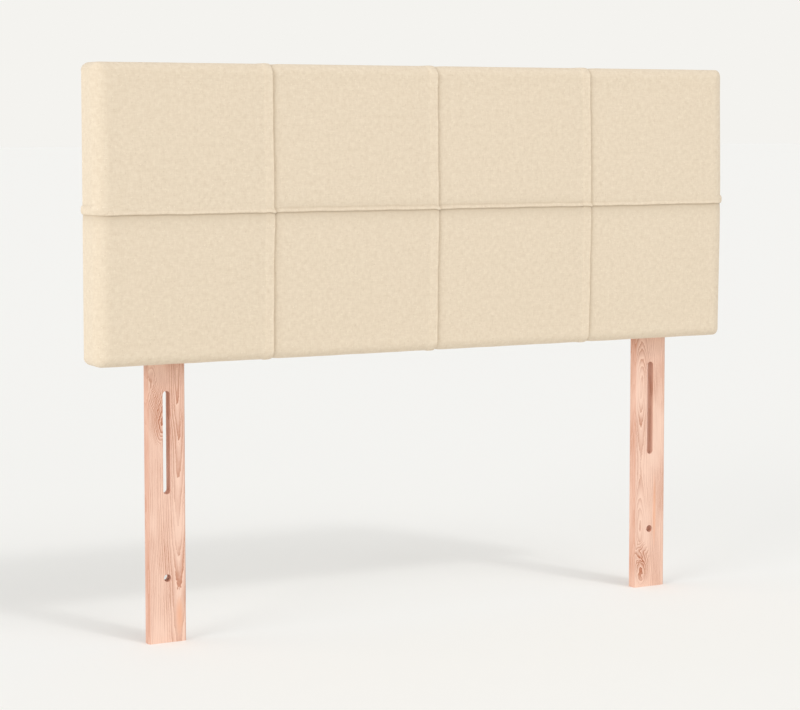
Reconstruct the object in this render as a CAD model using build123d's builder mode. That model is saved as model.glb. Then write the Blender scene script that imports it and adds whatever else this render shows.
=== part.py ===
from build123d import *

import os

os.makedirs("parts", exist_ok=True)

# Overall sizes of the headboard, with the panel at its lowest setting
overall_width = 1000.0
lowest_height = 780.0
panel_height = 400.0
height_travel = 100.0

# Clearances, and the one overrun that every cut uses
soft_clearance = 0.3
running_clearance = 0.3
fit_clearance = 0.1
overrun = 5.0

# Cover cloth, its hem and its sewn seams
cover_thickness = 1.2
hem_width = 18.0
seam_spacing = 253.0
seam_lap_width = 12.0
seam_lap_height = 1.2
cross_lap_height = 2.0
lap_fold_radius = 0.8
lap_sink_share = 0.5
lap_swell_share = 0.8

# Rounding of the padded panel
side_edge_radius = 20.0
long_edge_radius = 14.0
panel_corner_radius = 9.0
crown_rise = 3.0
plan_lead = 0.3

# Layers behind the cover
foam_thickness = 10.0
front_board_thickness = 3.0
front_board_inset = 2.5
frame_depth = 36.0
frame_member_width = 18.0
frame_edge_radius = 4.0
back_cloth_thickness = 0.6
back_cloth_inset = 14.0

# Legs, their channels and the strips beside them
leg_inset = 109.5
leg_top_drop = 70.0
leg_width = 54.0
leg_thickness = 15.0
leg_edge_radius = 2.5
leg_side_clearance = 1.0
batten_thickness = 18.0
guide_width = 17.0
channel_end_gap = 12.0

# Slots and hole of a leg for the bed, and where its two slots for the panel leave wood
slot_play = 2.4
bed_slot_length = 140.0
bed_slot_centre_height = 272.0
bed_hole_height = 88.0
below_slots_share = 0.28
between_slots_share = 0.44

# Bolts that clamp the legs to the panel, with their washers and T-nuts
bolt_diameter = 8.0
bolt_tip_gap = 4.6
bolt_head_diameter = 16.0
bolt_head_thickness = 2.5
bolt_socket_width = 5.0
bolt_socket_depth = 1.8
bolt_tip_chamfer = 1.0
washer_diameter = 21.0
washer_thickness = 1.6
washer_play = 0.6
t_nut_flange_diameter = 19.0
t_nut_flange_thickness = 1.5
t_nut_wall = 1.0
t_nut_barrel_length = 11.0

# Depth runs along Y, from the back plane at +Y to the front at -Y
panel_depth = (
    back_cloth_thickness
    + 2 * cover_thickness
    + frame_depth
    + front_board_thickness
    + foam_thickness
    + crown_rise
    + soft_clearance
)
back_y = (panel_depth + cross_lap_height) / 2
cover_back_y = back_y - back_cloth_thickness
frame_back_y = cover_back_y - cover_thickness
frame_front_y = frame_back_y - frame_depth
board_front_y = frame_front_y - front_board_thickness
cover_front_y = back_y - panel_depth
cover_edge_y = cover_front_y + crown_rise
leg_front_y = frame_front_y + batten_thickness
leg_back_y = leg_front_y + leg_thickness

# Height runs along Z, up from the floor under the legs
panel_top_z = lowest_height
panel_bottom_z = lowest_height - panel_height
panel_middle_z = (panel_top_z + panel_bottom_z) / 2
frame_inset = cover_thickness + soft_clearance
frame_top_z = panel_top_z - frame_inset
frame_bottom_z = panel_bottom_z + frame_inset
rail_under_z = frame_top_z - frame_member_width
rail_over_z = frame_bottom_z + frame_member_width
leg_length = panel_top_z - leg_top_drop
channel_top_z = leg_length + channel_end_gap

# Width runs along X, with the left side at -X as seen from the front
side_x = overall_width / 2
frame_side_x = side_x - frame_inset
leg_centres = (leg_inset - side_x, side_x - leg_inset)
channel_width = leg_width + 2 * leg_side_clearance
batten_width = channel_width + 2 * guide_width
seam_lines = [n * seam_spacing + seam_lap_width / 2 for n in (-1, 0, 1)]

# The panel slots of a leg share out its length above the bottom rail
slot_width = bolt_diameter + slot_play
panel_slot_length = height_travel + bolt_diameter + 2 * running_clearance
spare_length = leg_length - rail_over_z - 2 * panel_slot_length
lower_slot_z = rail_over_z + spare_length * below_slots_share + panel_slot_length / 2
upper_slot_z = lower_slot_z + panel_slot_length + spare_length * between_slots_share
panel_slot_heights = (lower_slot_z, upper_slot_z)
bolt_heights = [z - height_travel / 2 for z in panel_slot_heights]

# The bolts reach from their washers almost to the front of the battens
bolt_length = washer_thickness + leg_thickness + batten_thickness - bolt_tip_gap
washer_hole_diameter = bolt_diameter + washer_play
t_nut_barrel_diameter = bolt_diameter + 2 * t_nut_wall

sides = ("left", "right")
column_names = ("far_left", "left", "right", "far_right")


def save(piece, name):
    """Name a finished piece and write it to its own file."""
    piece.label = name
    export_step(piece, f"parts/{name}.step")


def side_face(inset, back, x=0.0):
    """Side view of the padded block: a low crown that runs smoothly into rounded long edges."""
    radius = long_edge_radius - inset
    edge = cover_edge_y + inset
    top = panel_top_z - inset
    bottom = panel_bottom_z + inset
    reach = (top - bottom) / 2 - radius
    crown_radius = (reach**2 + crown_rise**2) / (2 * crown_rise) + radius
    crown_centre = Vector(edge - crown_rise + crown_radius, panel_middle_z)
    corner_centre = Vector(edge + radius, top - radius)
    meeting = crown_centre + (corner_centre - crown_centre).normalized() * crown_radius
    with BuildSketch(Plane.YZ.offset(x)) as view:
        with BuildLine():
            over = Line((back, top), (edge + radius, top))
            upper = TangentArc(over @ 1, meeting, tangent=over % 1)
            front = TangentArc(
                upper @ 1,
                (meeting.X, 2 * panel_middle_z - meeting.Y),
                tangent=upper % 1,
            )
            lower = TangentArc(front @ 1, (edge + radius, bottom), tangent=front % 1)
            under = Line(lower @ 1, (back, bottom))
            Line(under @ 1, over @ 0)
        make_face()
    return view.sketch


def plan_face(inset, back, z=0.0, lead=0.0):
    """Plan of the padded block: a straight front between two rounded side edges.

    A lead keeps the straight front ahead of the crown, so that only the side edges cut it.
    """
    radius = side_edge_radius - inset
    width = overall_width - 2 * inset
    front = cover_front_y + inset - lead
    with BuildSketch(Plane.XY.offset(z)) as view:
        with Locations((0, (back + front) / 2)):
            Rectangle(width, back - front)
        fillet(view.vertices().group_by(Axis.Y)[0], radius)
    return view.sketch


def padded_block(inset, back):
    """The panel's padded shape, drawn in from its outside by the inset."""
    with BuildPart() as block:
        extrude(side_face(inset, back, -side_x - overrun), amount=overall_width + 2 * overrun)
        extrude(
            plan_face(inset, back, panel_bottom_z - overrun, plan_lead),
            amount=panel_height + 2 * overrun,
            mode=Mode.INTERSECT,
        )
        with BuildSketch(Plane.XZ.offset(-back)):
            with Locations((0, panel_middle_z)):
                RectangleRounded(
                    overall_width - 2 * inset,
                    panel_height - 2 * inset,
                    panel_corner_radius - inset,
                )
        extrude(amount=back - cover_front_y + overrun, mode=Mode.INTERSECT)
    return block.part


def lap_section(plane, width, height):
    """Section of a folded seam allowance: it swells slowly and ends in a tight fold."""
    sink = cover_thickness * lap_sink_share
    fold = lap_fold_radius if width > 0 else -lap_fold_radius
    with BuildSketch(plane) as section:
        with BuildLine():
            foot = Line((width, -sink), (width, 0))
            swell = ThreePointArc(
                foot @ 1,
                (width / 2, height * lap_swell_share),
                (fold, height),
            )
            nose = Line(swell @ 1, (0, height - lap_fold_radius))
            drop = Line(nose @ 1, (0, -sink))
            Line(drop @ 1, foot @ 0)
        make_face()
    return section.sketch


def open_path(face):
    """The outline of a view without its straight edge at the back."""
    return Wire(face.edges().sort_by(Axis.Y)[:-1])


def upright_lap(x):
    """Raised seam allowance of an upright seam, over the top, down the front and under."""
    path = open_path(side_face(0, cover_back_y, x))
    start = Plane((x, cover_back_y, panel_top_z), x_dir=(1, 0, 0), z_dir=(0, -1, 0))
    with BuildPart() as lap:
        sweep(lap_section(start, -seam_lap_width, seam_lap_height), path)
    return lap.part


def cross_lap():
    """Raised seam allowance of the cross seam, round both sides and along the front."""
    path = open_path(plan_face(0, cover_back_y, panel_middle_z))
    start = Plane((-side_x, cover_back_y, panel_middle_z), x_dir=(0, 0, 1), z_dir=(0, -1, 0))
    with BuildPart() as lap:
        sweep(lap_section(start, seam_lap_width, cross_lap_height), path)
    return lap.part


def channel_cut(front):
    """Both leg channels as solids, open downwards and to the back."""
    height = channel_top_z - panel_bottom_z + overrun
    with BuildPart() as cut:
        with BuildSketch(Plane.XY.offset(channel_top_z - height)):
            for x in leg_centres:
                with Locations((x, (front + back_y + overrun) / 2)):
                    Rectangle(channel_width, back_y + overrun - front)
        extrude(amount=height)
    return cut.part


def cover_skin():
    """The whole sewn cover: a thin skin over the padding with its hem turned on the back."""
    with BuildPart() as skin:
        add(padded_block(0, cover_back_y))
        add(padded_block(cover_thickness, frame_back_y), mode=Mode.SUBTRACT)
        with BuildSketch(Plane.XZ.offset(-cover_back_y)):
            with Locations((0, panel_middle_z)):
                Rectangle(overall_width - 2 * hem_width, panel_height - 2 * hem_width)
        extrude(amount=2 * cover_thickness, mode=Mode.SUBTRACT)
        for x in seam_lines:
            add(upright_lap(x))
        add(cross_lap())
        add(channel_cut(leg_front_y - soft_clearance), mode=Mode.SUBTRACT)
    return skin.part


def make_covers():
    """Cut the sewn cover along its seams into the pieces of cloth that it is sewn from."""
    skin = cover_skin()
    reach = side_x + cross_lap_height + overrun
    column_edges = [-reach, *seam_lines, reach]
    top = panel_top_z + seam_lap_height + overrun
    bottom = panel_bottom_z - seam_lap_height - overrun
    rows = {"upper": (panel_middle_z, top), "lower": (bottom, panel_middle_z)}
    for row, (low, high) in rows.items():
        for column, left, right in zip(column_names, column_edges, column_edges[1:]):
            with BuildPart() as cover:
                add(skin)
                with BuildSketch(Plane.XZ.offset(-back_y)):
                    with Locations(((left + right) / 2, (low + high) / 2)):
                        Rectangle(right - left, high - low)
                extrude(amount=panel_depth + cross_lap_height + overrun, mode=Mode.INTERSECT)
            save(cover.part, f"cover_{row}_{column}")


def make_foam_pad():
    """Foam sheet over the front board, rounded over at its edges like the cover."""
    inset = cover_thickness + soft_clearance
    with BuildPart() as foam:
        add(padded_block(inset, cover_back_y))
        split(bisect_by=Plane.XZ.offset(-board_front_y), keep=Keep.TOP)
    save(foam.part, "foam_pad")


def make_front_board():
    """Thin board nailed over the frame, which carries the foam."""
    inset = frame_inset + front_board_inset
    with BuildPart() as board:
        with BuildSketch(Plane.XZ.offset(-frame_front_y)):
            with Locations((0, panel_middle_z)):
                RectangleRounded(
                    overall_width - 2 * inset,
                    panel_height - 2 * inset,
                    panel_corner_radius - frame_inset,
                )
        extrude(amount=front_board_thickness)
    save(board.part, "front_board")


def frame_block():
    """Outside of the wooden frame, with eased corners and a rounded front edge."""
    with BuildPart() as block:
        with BuildSketch(Plane.XZ.offset(-frame_back_y)):
            with Locations((0, panel_middle_z)):
                RectangleRounded(
                    2 * frame_side_x,
                    frame_top_z - frame_bottom_z,
                    panel_corner_radius - frame_inset,
                )
        extrude(amount=frame_depth)
        fillet(block.faces().sort_by(Axis.Y)[0].edges(), frame_edge_radius)
    return block.part


def frame_member(block, x_from, x_to, z_from, z_to):
    """The part of the frame's outside that lies between two widths and two heights."""
    with BuildPart() as member:
        add(block)
        with BuildSketch(Plane.XZ.offset(-frame_back_y)):
            with Locations(((x_from + x_to) / 2, (z_from + z_to) / 2)):
                Rectangle(x_to - x_from, z_to - z_from)
        extrude(amount=frame_depth, mode=Mode.INTERSECT)
    return member.part


def make_frame():
    """Rails across, stiles between them, and the bottom rail notched for the legs."""
    block = frame_block()
    left, right = -frame_side_x, frame_side_x
    save(frame_member(block, left, right, rail_under_z, frame_top_z), "top_rail")
    with BuildPart() as bottom:
        add(frame_member(block, left, right, frame_bottom_z, rail_over_z))
        add(channel_cut(leg_front_y), mode=Mode.SUBTRACT)
    save(bottom.part, "bottom_rail")
    stiles = {
        "left_stile": left,
        "centre_stile": -frame_member_width / 2,
        "right_stile": right - frame_member_width,
    }
    for name, x in stiles.items():
        save(frame_member(block, x, x + frame_member_width, rail_over_z, rail_under_z), name)


def make_leg_seats():
    """Behind each leg a batten that takes its T-nuts, with a guide strip on either side."""
    height = rail_under_z - rail_over_z
    guide_depth = frame_back_y - leg_front_y
    guide_offset = (channel_width + guide_width) / 2
    for side, x in zip(sides, leg_centres):
        outward = -1 if x < 0 else 1
        with BuildPart() as batten:
            with BuildSketch(Plane.XY.offset(rail_over_z)):
                with Locations((x, frame_front_y + batten_thickness / 2)):
                    Rectangle(batten_width, batten_thickness)
            extrude(amount=height)
            for seat_radius, depth in (
                (t_nut_flange_diameter / 2, t_nut_flange_thickness),
                (t_nut_barrel_diameter / 2, t_nut_flange_thickness + t_nut_barrel_length),
                (bolt_diameter / 2, batten_thickness),
            ):
                with BuildSketch(Plane.XZ.offset(-frame_front_y)):
                    with Locations(*[(x, z) for z in bolt_heights]):
                        Circle(seat_radius + fit_clearance)
                extrude(amount=-depth, mode=Mode.SUBTRACT)
        save(batten.part, f"{side}_leg_batten")
        for place, step in (("outer", outward), ("inner", -outward)):
            with BuildPart() as guide:
                with BuildSketch(Plane.XY.offset(rail_over_z)):
                    with Locations((x + step * guide_offset, leg_front_y + guide_depth / 2)):
                        Rectangle(guide_width, guide_depth)
                extrude(amount=height)
            save(guide.part, f"{side}_leg_{place}_guide")


def make_back_cloth():
    """Thin cloth over the back, cut away along the leg channels."""
    with BuildPart() as cloth:
        with BuildSketch(Plane.XZ.offset(-back_y)):
            with Locations((0, panel_middle_z)):
                Rectangle(
                    overall_width - 2 * back_cloth_inset,
                    panel_height - 2 * back_cloth_inset,
                )
        extrude(amount=back_cloth_thickness)
        add(channel_cut(leg_front_y), mode=Mode.SUBTRACT)
    save(cloth.part, "back_cloth")


def make_legs():
    """Upright boards with a slot and a hole for the bed, and two slots for the panel."""
    slots = [(bed_slot_centre_height, bed_slot_length)]
    slots += [(z, panel_slot_length) for z in panel_slot_heights]
    for side, x in zip(sides, leg_centres):
        with BuildPart() as leg:
            with BuildSketch(Plane.XY):
                with Locations((x, leg_front_y + leg_thickness / 2)):
                    Rectangle(leg_width, leg_thickness)
            extrude(amount=leg_length)
            fillet(leg.edges().filter_by(Axis.Z), leg_edge_radius)
            with BuildSketch(Plane.XZ.offset(-leg_back_y)):
                for centre, length in slots:
                    with Locations((x, centre)):
                        SlotOverall(length, slot_width, rotation=90)
                with Locations((x, bed_hole_height)):
                    Circle(slot_width / 2)
            extrude(amount=leg_thickness, mode=Mode.SUBTRACT)
        save(leg.part, f"{side}_leg")


def bolt_places():
    """Where the bolts stand, on the plane of the legs' back faces."""
    return [(x, z) for x in leg_centres for z in bolt_heights]


def make_bolts():
    """Flat-headed bolts with a hexagon socket, put in from the back."""
    head_y = leg_back_y + washer_thickness
    with BuildPart() as bolts:
        with BuildSketch(Plane.XZ.offset(-head_y)):
            with Locations(*bolt_places()):
                Circle(bolt_head_diameter / 2)
        extrude(amount=-bolt_head_thickness)
        with BuildSketch(Plane.XZ.offset(-head_y)):
            with Locations(*bolt_places()):
                Circle(bolt_diameter / 2)
        extrude(amount=bolt_length)
        chamfer(bolts.faces().group_by(Axis.Y)[0].edges(), bolt_tip_chamfer)
        with BuildSketch(Plane.XZ.offset(-head_y - bolt_head_thickness)):
            with Locations(*bolt_places()):
                RegularPolygon(bolt_socket_width / 2, 6, major_radius=False)
        extrude(amount=bolt_socket_depth, mode=Mode.SUBTRACT)
    save(bolts.part, "leg_bolts")


def make_washers():
    """Wide washers between the bolt heads and the legs."""
    with BuildPart() as washers:
        with BuildSketch(Plane.XZ.offset(-leg_back_y)):
            with Locations(*bolt_places()):
                Circle(washer_diameter / 2)
                Circle(washer_hole_diameter / 2, mode=Mode.SUBTRACT)
        extrude(amount=-washer_thickness)
    save(washers.part, "washers")


def make_t_nuts():
    """T-nuts let into the front of the battens, under the front board."""
    with BuildPart() as nuts:
        with BuildSketch(Plane.XZ.offset(-frame_front_y)):
            with Locations(*bolt_places()):
                Circle(t_nut_flange_diameter / 2)
        extrude(amount=-t_nut_flange_thickness)
        with BuildSketch(Plane.XZ.offset(-frame_front_y)):
            with Locations(*bolt_places()):
                Circle(t_nut_barrel_diameter / 2)
        extrude(amount=-(t_nut_flange_thickness + t_nut_barrel_length))
        with BuildSketch(Plane.XZ.offset(-frame_front_y)):
            with Locations(*bolt_places()):
                Circle(bolt_diameter / 2 + fit_clearance)
        extrude(amount=-(t_nut_flange_thickness + t_nut_barrel_length), mode=Mode.SUBTRACT)
    save(nuts.part, "t_nuts")


make_legs()
make_frame()
make_leg_seats()
make_front_board()
make_foam_pad()
make_covers()
make_back_cloth()
make_bolts()
make_washers()
make_t_nuts()
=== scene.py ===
"""The looks of a padded headboard on two slotted legs: cloth, timber, fastenings and studio.

Lengths are in metres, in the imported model's own frame: X across, Y from the front to the back, Z up.
"""

import logging
import math
from collections.abc import Callable, Sequence
from dataclasses import dataclass, field
from enum import Enum

import bpy
import numpy as np
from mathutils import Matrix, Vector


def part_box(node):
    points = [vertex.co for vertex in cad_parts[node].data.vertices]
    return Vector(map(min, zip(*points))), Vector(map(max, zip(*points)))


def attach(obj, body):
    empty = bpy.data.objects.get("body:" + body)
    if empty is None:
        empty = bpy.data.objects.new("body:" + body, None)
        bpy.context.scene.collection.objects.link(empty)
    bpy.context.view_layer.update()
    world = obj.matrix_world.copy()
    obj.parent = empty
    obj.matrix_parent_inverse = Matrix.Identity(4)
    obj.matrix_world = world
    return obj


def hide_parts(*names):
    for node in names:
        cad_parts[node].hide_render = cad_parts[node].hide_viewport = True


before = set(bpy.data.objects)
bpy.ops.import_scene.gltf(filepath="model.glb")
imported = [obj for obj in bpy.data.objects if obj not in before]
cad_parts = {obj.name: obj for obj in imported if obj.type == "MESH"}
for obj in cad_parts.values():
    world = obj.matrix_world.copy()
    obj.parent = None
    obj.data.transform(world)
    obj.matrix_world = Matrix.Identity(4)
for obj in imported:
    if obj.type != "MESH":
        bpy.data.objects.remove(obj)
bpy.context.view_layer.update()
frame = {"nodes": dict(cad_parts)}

Array = np.ndarray
Colour = tuple[float, float, float, float]

log = logging.getLogger("headboard")

MM = 0.001
TOUCH = 1e-6
TINY = 1e-9
FULL_TURN = 2 * math.pi
QUARTER_TURN = math.pi / 2
SCREEN_WHITE = 255
PANEL = "panel"
FLAT_MAP = "flat_cloth"
# Name of the cloth attribute that holds the share of painted shade beside the seams.
PAINTED_SEAM_SHADE = "drawn_in"


def linear(red: float, green: float, blue: float) -> Colour:
    """Turn a screen colour into the linear colour that a shader takes, by the curve of a plain screen.

    Args:
        red: Red level from 0 to 255.
        green: Green level from 0 to 255.
        blue: Blue level from 0 to 255.

    Returns:
        The colour as linear red, green, blue and an alpha of 1.
    """
    knee, slope, offset, power = 0.04045, 12.92, 0.055, 2.4
    levels = np.array([red, green, blue]) / SCREEN_WHITE
    bent = np.where(levels > knee, ((levels + offset) / (1 + offset)) ** power, levels / slope)
    return (*bent.tolist(), 1.0)


def held(value: Array) -> Array:
    """The value, held between 0 and 1."""
    return np.clip(value, 0, 1)


def smooth_step(share: Array) -> Array:
    """Ease from 0 to 1: three times the square less twice the cube of the held share."""
    share = held(share)
    return share * share * (3 - 2 * share)


def hump(distance: Array, reach: float) -> Array:
    """A bell curve of height 1: e to minus the square of distance over reach."""
    return np.exp(-((distance / reach) ** 2))


def slow_waves(along: Array, lengths: Sequence[float], seed: int) -> Array:
    """Uneven waves: the mean of sines of the given wavelengths, each at a seeded random phase.

    Args:
        along: Places along the line, in metres.
        lengths: The wavelengths, in metres.
        seed: Seed of the phases.

    Returns:
        Values from -1 to 1, one for each place.
    """
    phases = np.random.default_rng(seed).uniform(0, FULL_TURN, len(lengths))
    waves = [np.sin(FULL_TURN * along / length + phase) for length, phase in zip(lengths, phases)]
    return np.mean(waves, axis=0)


def stations(low: float, high: float, step: float) -> Array:
    """Evenly spaced places from low to high, both included, at most a step apart."""
    return np.linspace(low, high, max(2, math.ceil((high - low) / step) + 1))


def leg_channels() -> list[tuple[float, float]]:
    """Read where the channels lie in which the legs slide, each between its two guides.

    Returns:
        The left and right edge of each leg's channel.
    """
    return [
        (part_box("left_leg_outer_guide")[1].x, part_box("left_leg_inner_guide")[0].x),
        (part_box("right_leg_inner_guide")[1].x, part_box("right_leg_outer_guide")[0].x),
    ]


def notched(line_a: Array, line_b: Array, channels: Sequence[tuple[float, float]], top: float) -> Array:
    """Find which faces of a grid stay when the legs' notches are cut out of its lower edge.

    Args:
        line_a: Grid lines across.
        line_b: Grid lines up.
        channels: Left and right edge of each notch.
        top: Height up to which the notches reach.

    Returns:
        A grid of booleans, one for each face: whether its middle lies outside the notches.
    """
    middle_a, middle_b = ((line[1:] + line[:-1]) / 2 for line in (line_a, line_b))
    inside = np.any([(middle_a > low) & (middle_a < high) for low, high in channels], axis=0)
    return ~(inside[None, :] & (middle_b < top)[:, None])


@dataclass
class Surface:
    """Points and faces of a surface, as whole arrays, on their way to becoming a mesh.

    Attributes:
        points: One row of x, y, z for each vertex.
        faces: One row of four vertex numbers for each face, counter-clockwise from outside.
        flat: One row of flat cloth coordinates for each vertex, or None.
        seam_shade: Share of painted shade at each vertex of a cloth beside a seam, from 0 to 1, or None.
    """

    points: Array
    faces: Array
    flat: Array | None = None
    seam_shade: Array | None = None

    @classmethod
    def from_grid(
        cls,
        points: Array,
        flat: Array | None = None,
        keep: Array | None = None,
        closed: bool = False,
        flip: bool = False,
    ) -> "Surface":
        """Make a surface of four-sided faces from a grid of points.

        Args:
            points: Grid of points, with shape (rows, columns, 3).
            flat: Grid of flat cloth coordinates, with shape (rows, columns, 2), or None.
            keep: Grid of booleans that says which faces stay, or None for all of them.
            closed: Whether the last column joins the first.
            flip: Whether the faces point the other way.

        Returns:
            The surface.
        """
        numbers = np.arange(points.shape[0] * points.shape[1]).reshape(points.shape[:2])
        if closed:
            numbers = np.hstack([numbers, numbers[:, :1]])
        corners = [numbers[:-1, :-1], numbers[:-1, 1:], numbers[1:, 1:], numbers[1:, :-1]]
        faces = np.stack(corners[::-1] if flip else corners, axis=-1)
        faces = faces.reshape(-1, 4) if keep is None else faces[keep]
        return cls(points.reshape(-1, 3), faces, None if flat is None else flat.reshape(-1, 2))

    def joined(self, other: "Surface") -> "Surface":
        """Put this surface and another together as one, without flat coordinates."""
        faces = np.concatenate([self.faces, other.faces + len(self.points)])
        return Surface(np.concatenate([self.points, other.points]), faces)

    def to_object(self, name: str) -> bpy.types.Object:
        """Write the surface into a smoothly shaded mesh and link it to the scene, at the origin.

        Args:
            name: Name of the piece.

        Returns:
            The new object.
        """
        used, faces = np.unique(self.faces, return_inverse=True)
        faces = faces.reshape(-1, 4)
        mesh = bpy.data.meshes.new(name)
        mesh.vertices.add(len(used))
        mesh.vertices.foreach_set("co", self.points[used].astype(np.float32).ravel())
        mesh.loops.add(faces.size)
        mesh.loops.foreach_set("vertex_index", faces.astype(np.int32).ravel())
        mesh.polygons.add(len(faces))
        mesh.polygons.foreach_set("loop_start", np.arange(0, faces.size, 4, dtype=np.int32))
        mesh.polygons.foreach_set("use_smooth", np.full(len(faces), True))
        mesh.update(calc_edges=True)
        if self.flat is not None:
            layer = mesh.uv_layers.new(name=FLAT_MAP)
            layer.data.foreach_set("uv", self.flat[used][faces.ravel()].astype(np.float32).ravel())
        # Keep the share of painted shade beside the seams as a point attribute, for the cloth's material.
        if self.seam_shade is not None:
            attribute = mesh.attributes.new(PAINTED_SEAM_SHADE, "FLOAT", "POINT")
            attribute.data.foreach_set("value", self.seam_shade[used].astype(np.float32))
        mesh.validate()
        piece = bpy.data.objects.new(name, mesh)
        bpy.context.scene.collection.objects.link(piece)
        return piece


def add_modifier(piece: bpy.types.Object, kind: str, **settings: object) -> None:
    """Give a piece a modifier.

    Args:
        piece: The piece.
        kind: Type of the modifier, such as SOLIDIFY.
        **settings: Its settings by name.
    """
    modifier = piece.modifiers.new(kind.lower(), kind)
    for name, value in settings.items():
        setattr(modifier, name, value)


def both_ways(operation: str) -> tuple[Callable, Callable]:
    """Make the two methods of an operator on values, which add one Math node.

    Args:
        operation: The Math node's operation.

    Returns:
        The method for a value on the left, and its reflected form for a number on the left.
    """

    def forward(self: "Value", other: "Value | float") -> "Value":
        """Apply the operation to the value and the other term."""
        return self.maths(operation, self, other)

    def reflected(self: "Value", other: float) -> "Value":
        """Apply the operation to the number and the value."""
        return self.maths(operation, other, self)

    return forward, reflected


class Value:
    """A number or colour that varies over a surface, held by an output socket of a shader node."""

    def __init__(self, tree: "ShaderTree", socket: bpy.types.NodeSocket) -> None:
        """Wrap an output socket of a node in the tree."""
        self.tree = tree
        self.socket = socket

    def maths(self, operation: str, *terms: "Value | float") -> "Value":
        """Add one Math node for the given operation on the terms and return its result."""
        return self.tree.node("ShaderNodeMath", {"operation": operation}, dict(enumerate(terms)))[0]

    __add__, __radd__ = both_ways("ADD")
    __sub__, __rsub__ = both_ways("SUBTRACT")
    __mul__, __rmul__ = both_ways("MULTIPLY")
    __truediv__, __rtruediv__ = both_ways("DIVIDE")
    __pow__, __rpow__ = both_ways("POWER")
    __mod__, __rmod__ = both_ways("FLOORED_MODULO")

    def sine(self) -> "Value":
        """The sine of an angle in radians."""
        return self.maths("SINE", self)

    def absolute(self) -> "Value":
        """The value without its sign."""
        return self.maths("ABSOLUTE", self)

    def held(self) -> "Value":
        """The value, held between 0 and 1."""
        return self.tree.node("ShaderNodeClamp", None, {0: self})[0]


class Made:
    """A finished shader node, whose outputs are read by name or number."""

    def __init__(self, tree: "ShaderTree", node: bpy.types.Node) -> None:
        """Keep the node and the tree that it is in."""
        self.tree = tree
        self.node = node

    def __getitem__(self, output: str | int) -> Value:
        """Return one output of the node as a value."""
        return Value(self.tree, self.node.outputs[output])


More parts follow.
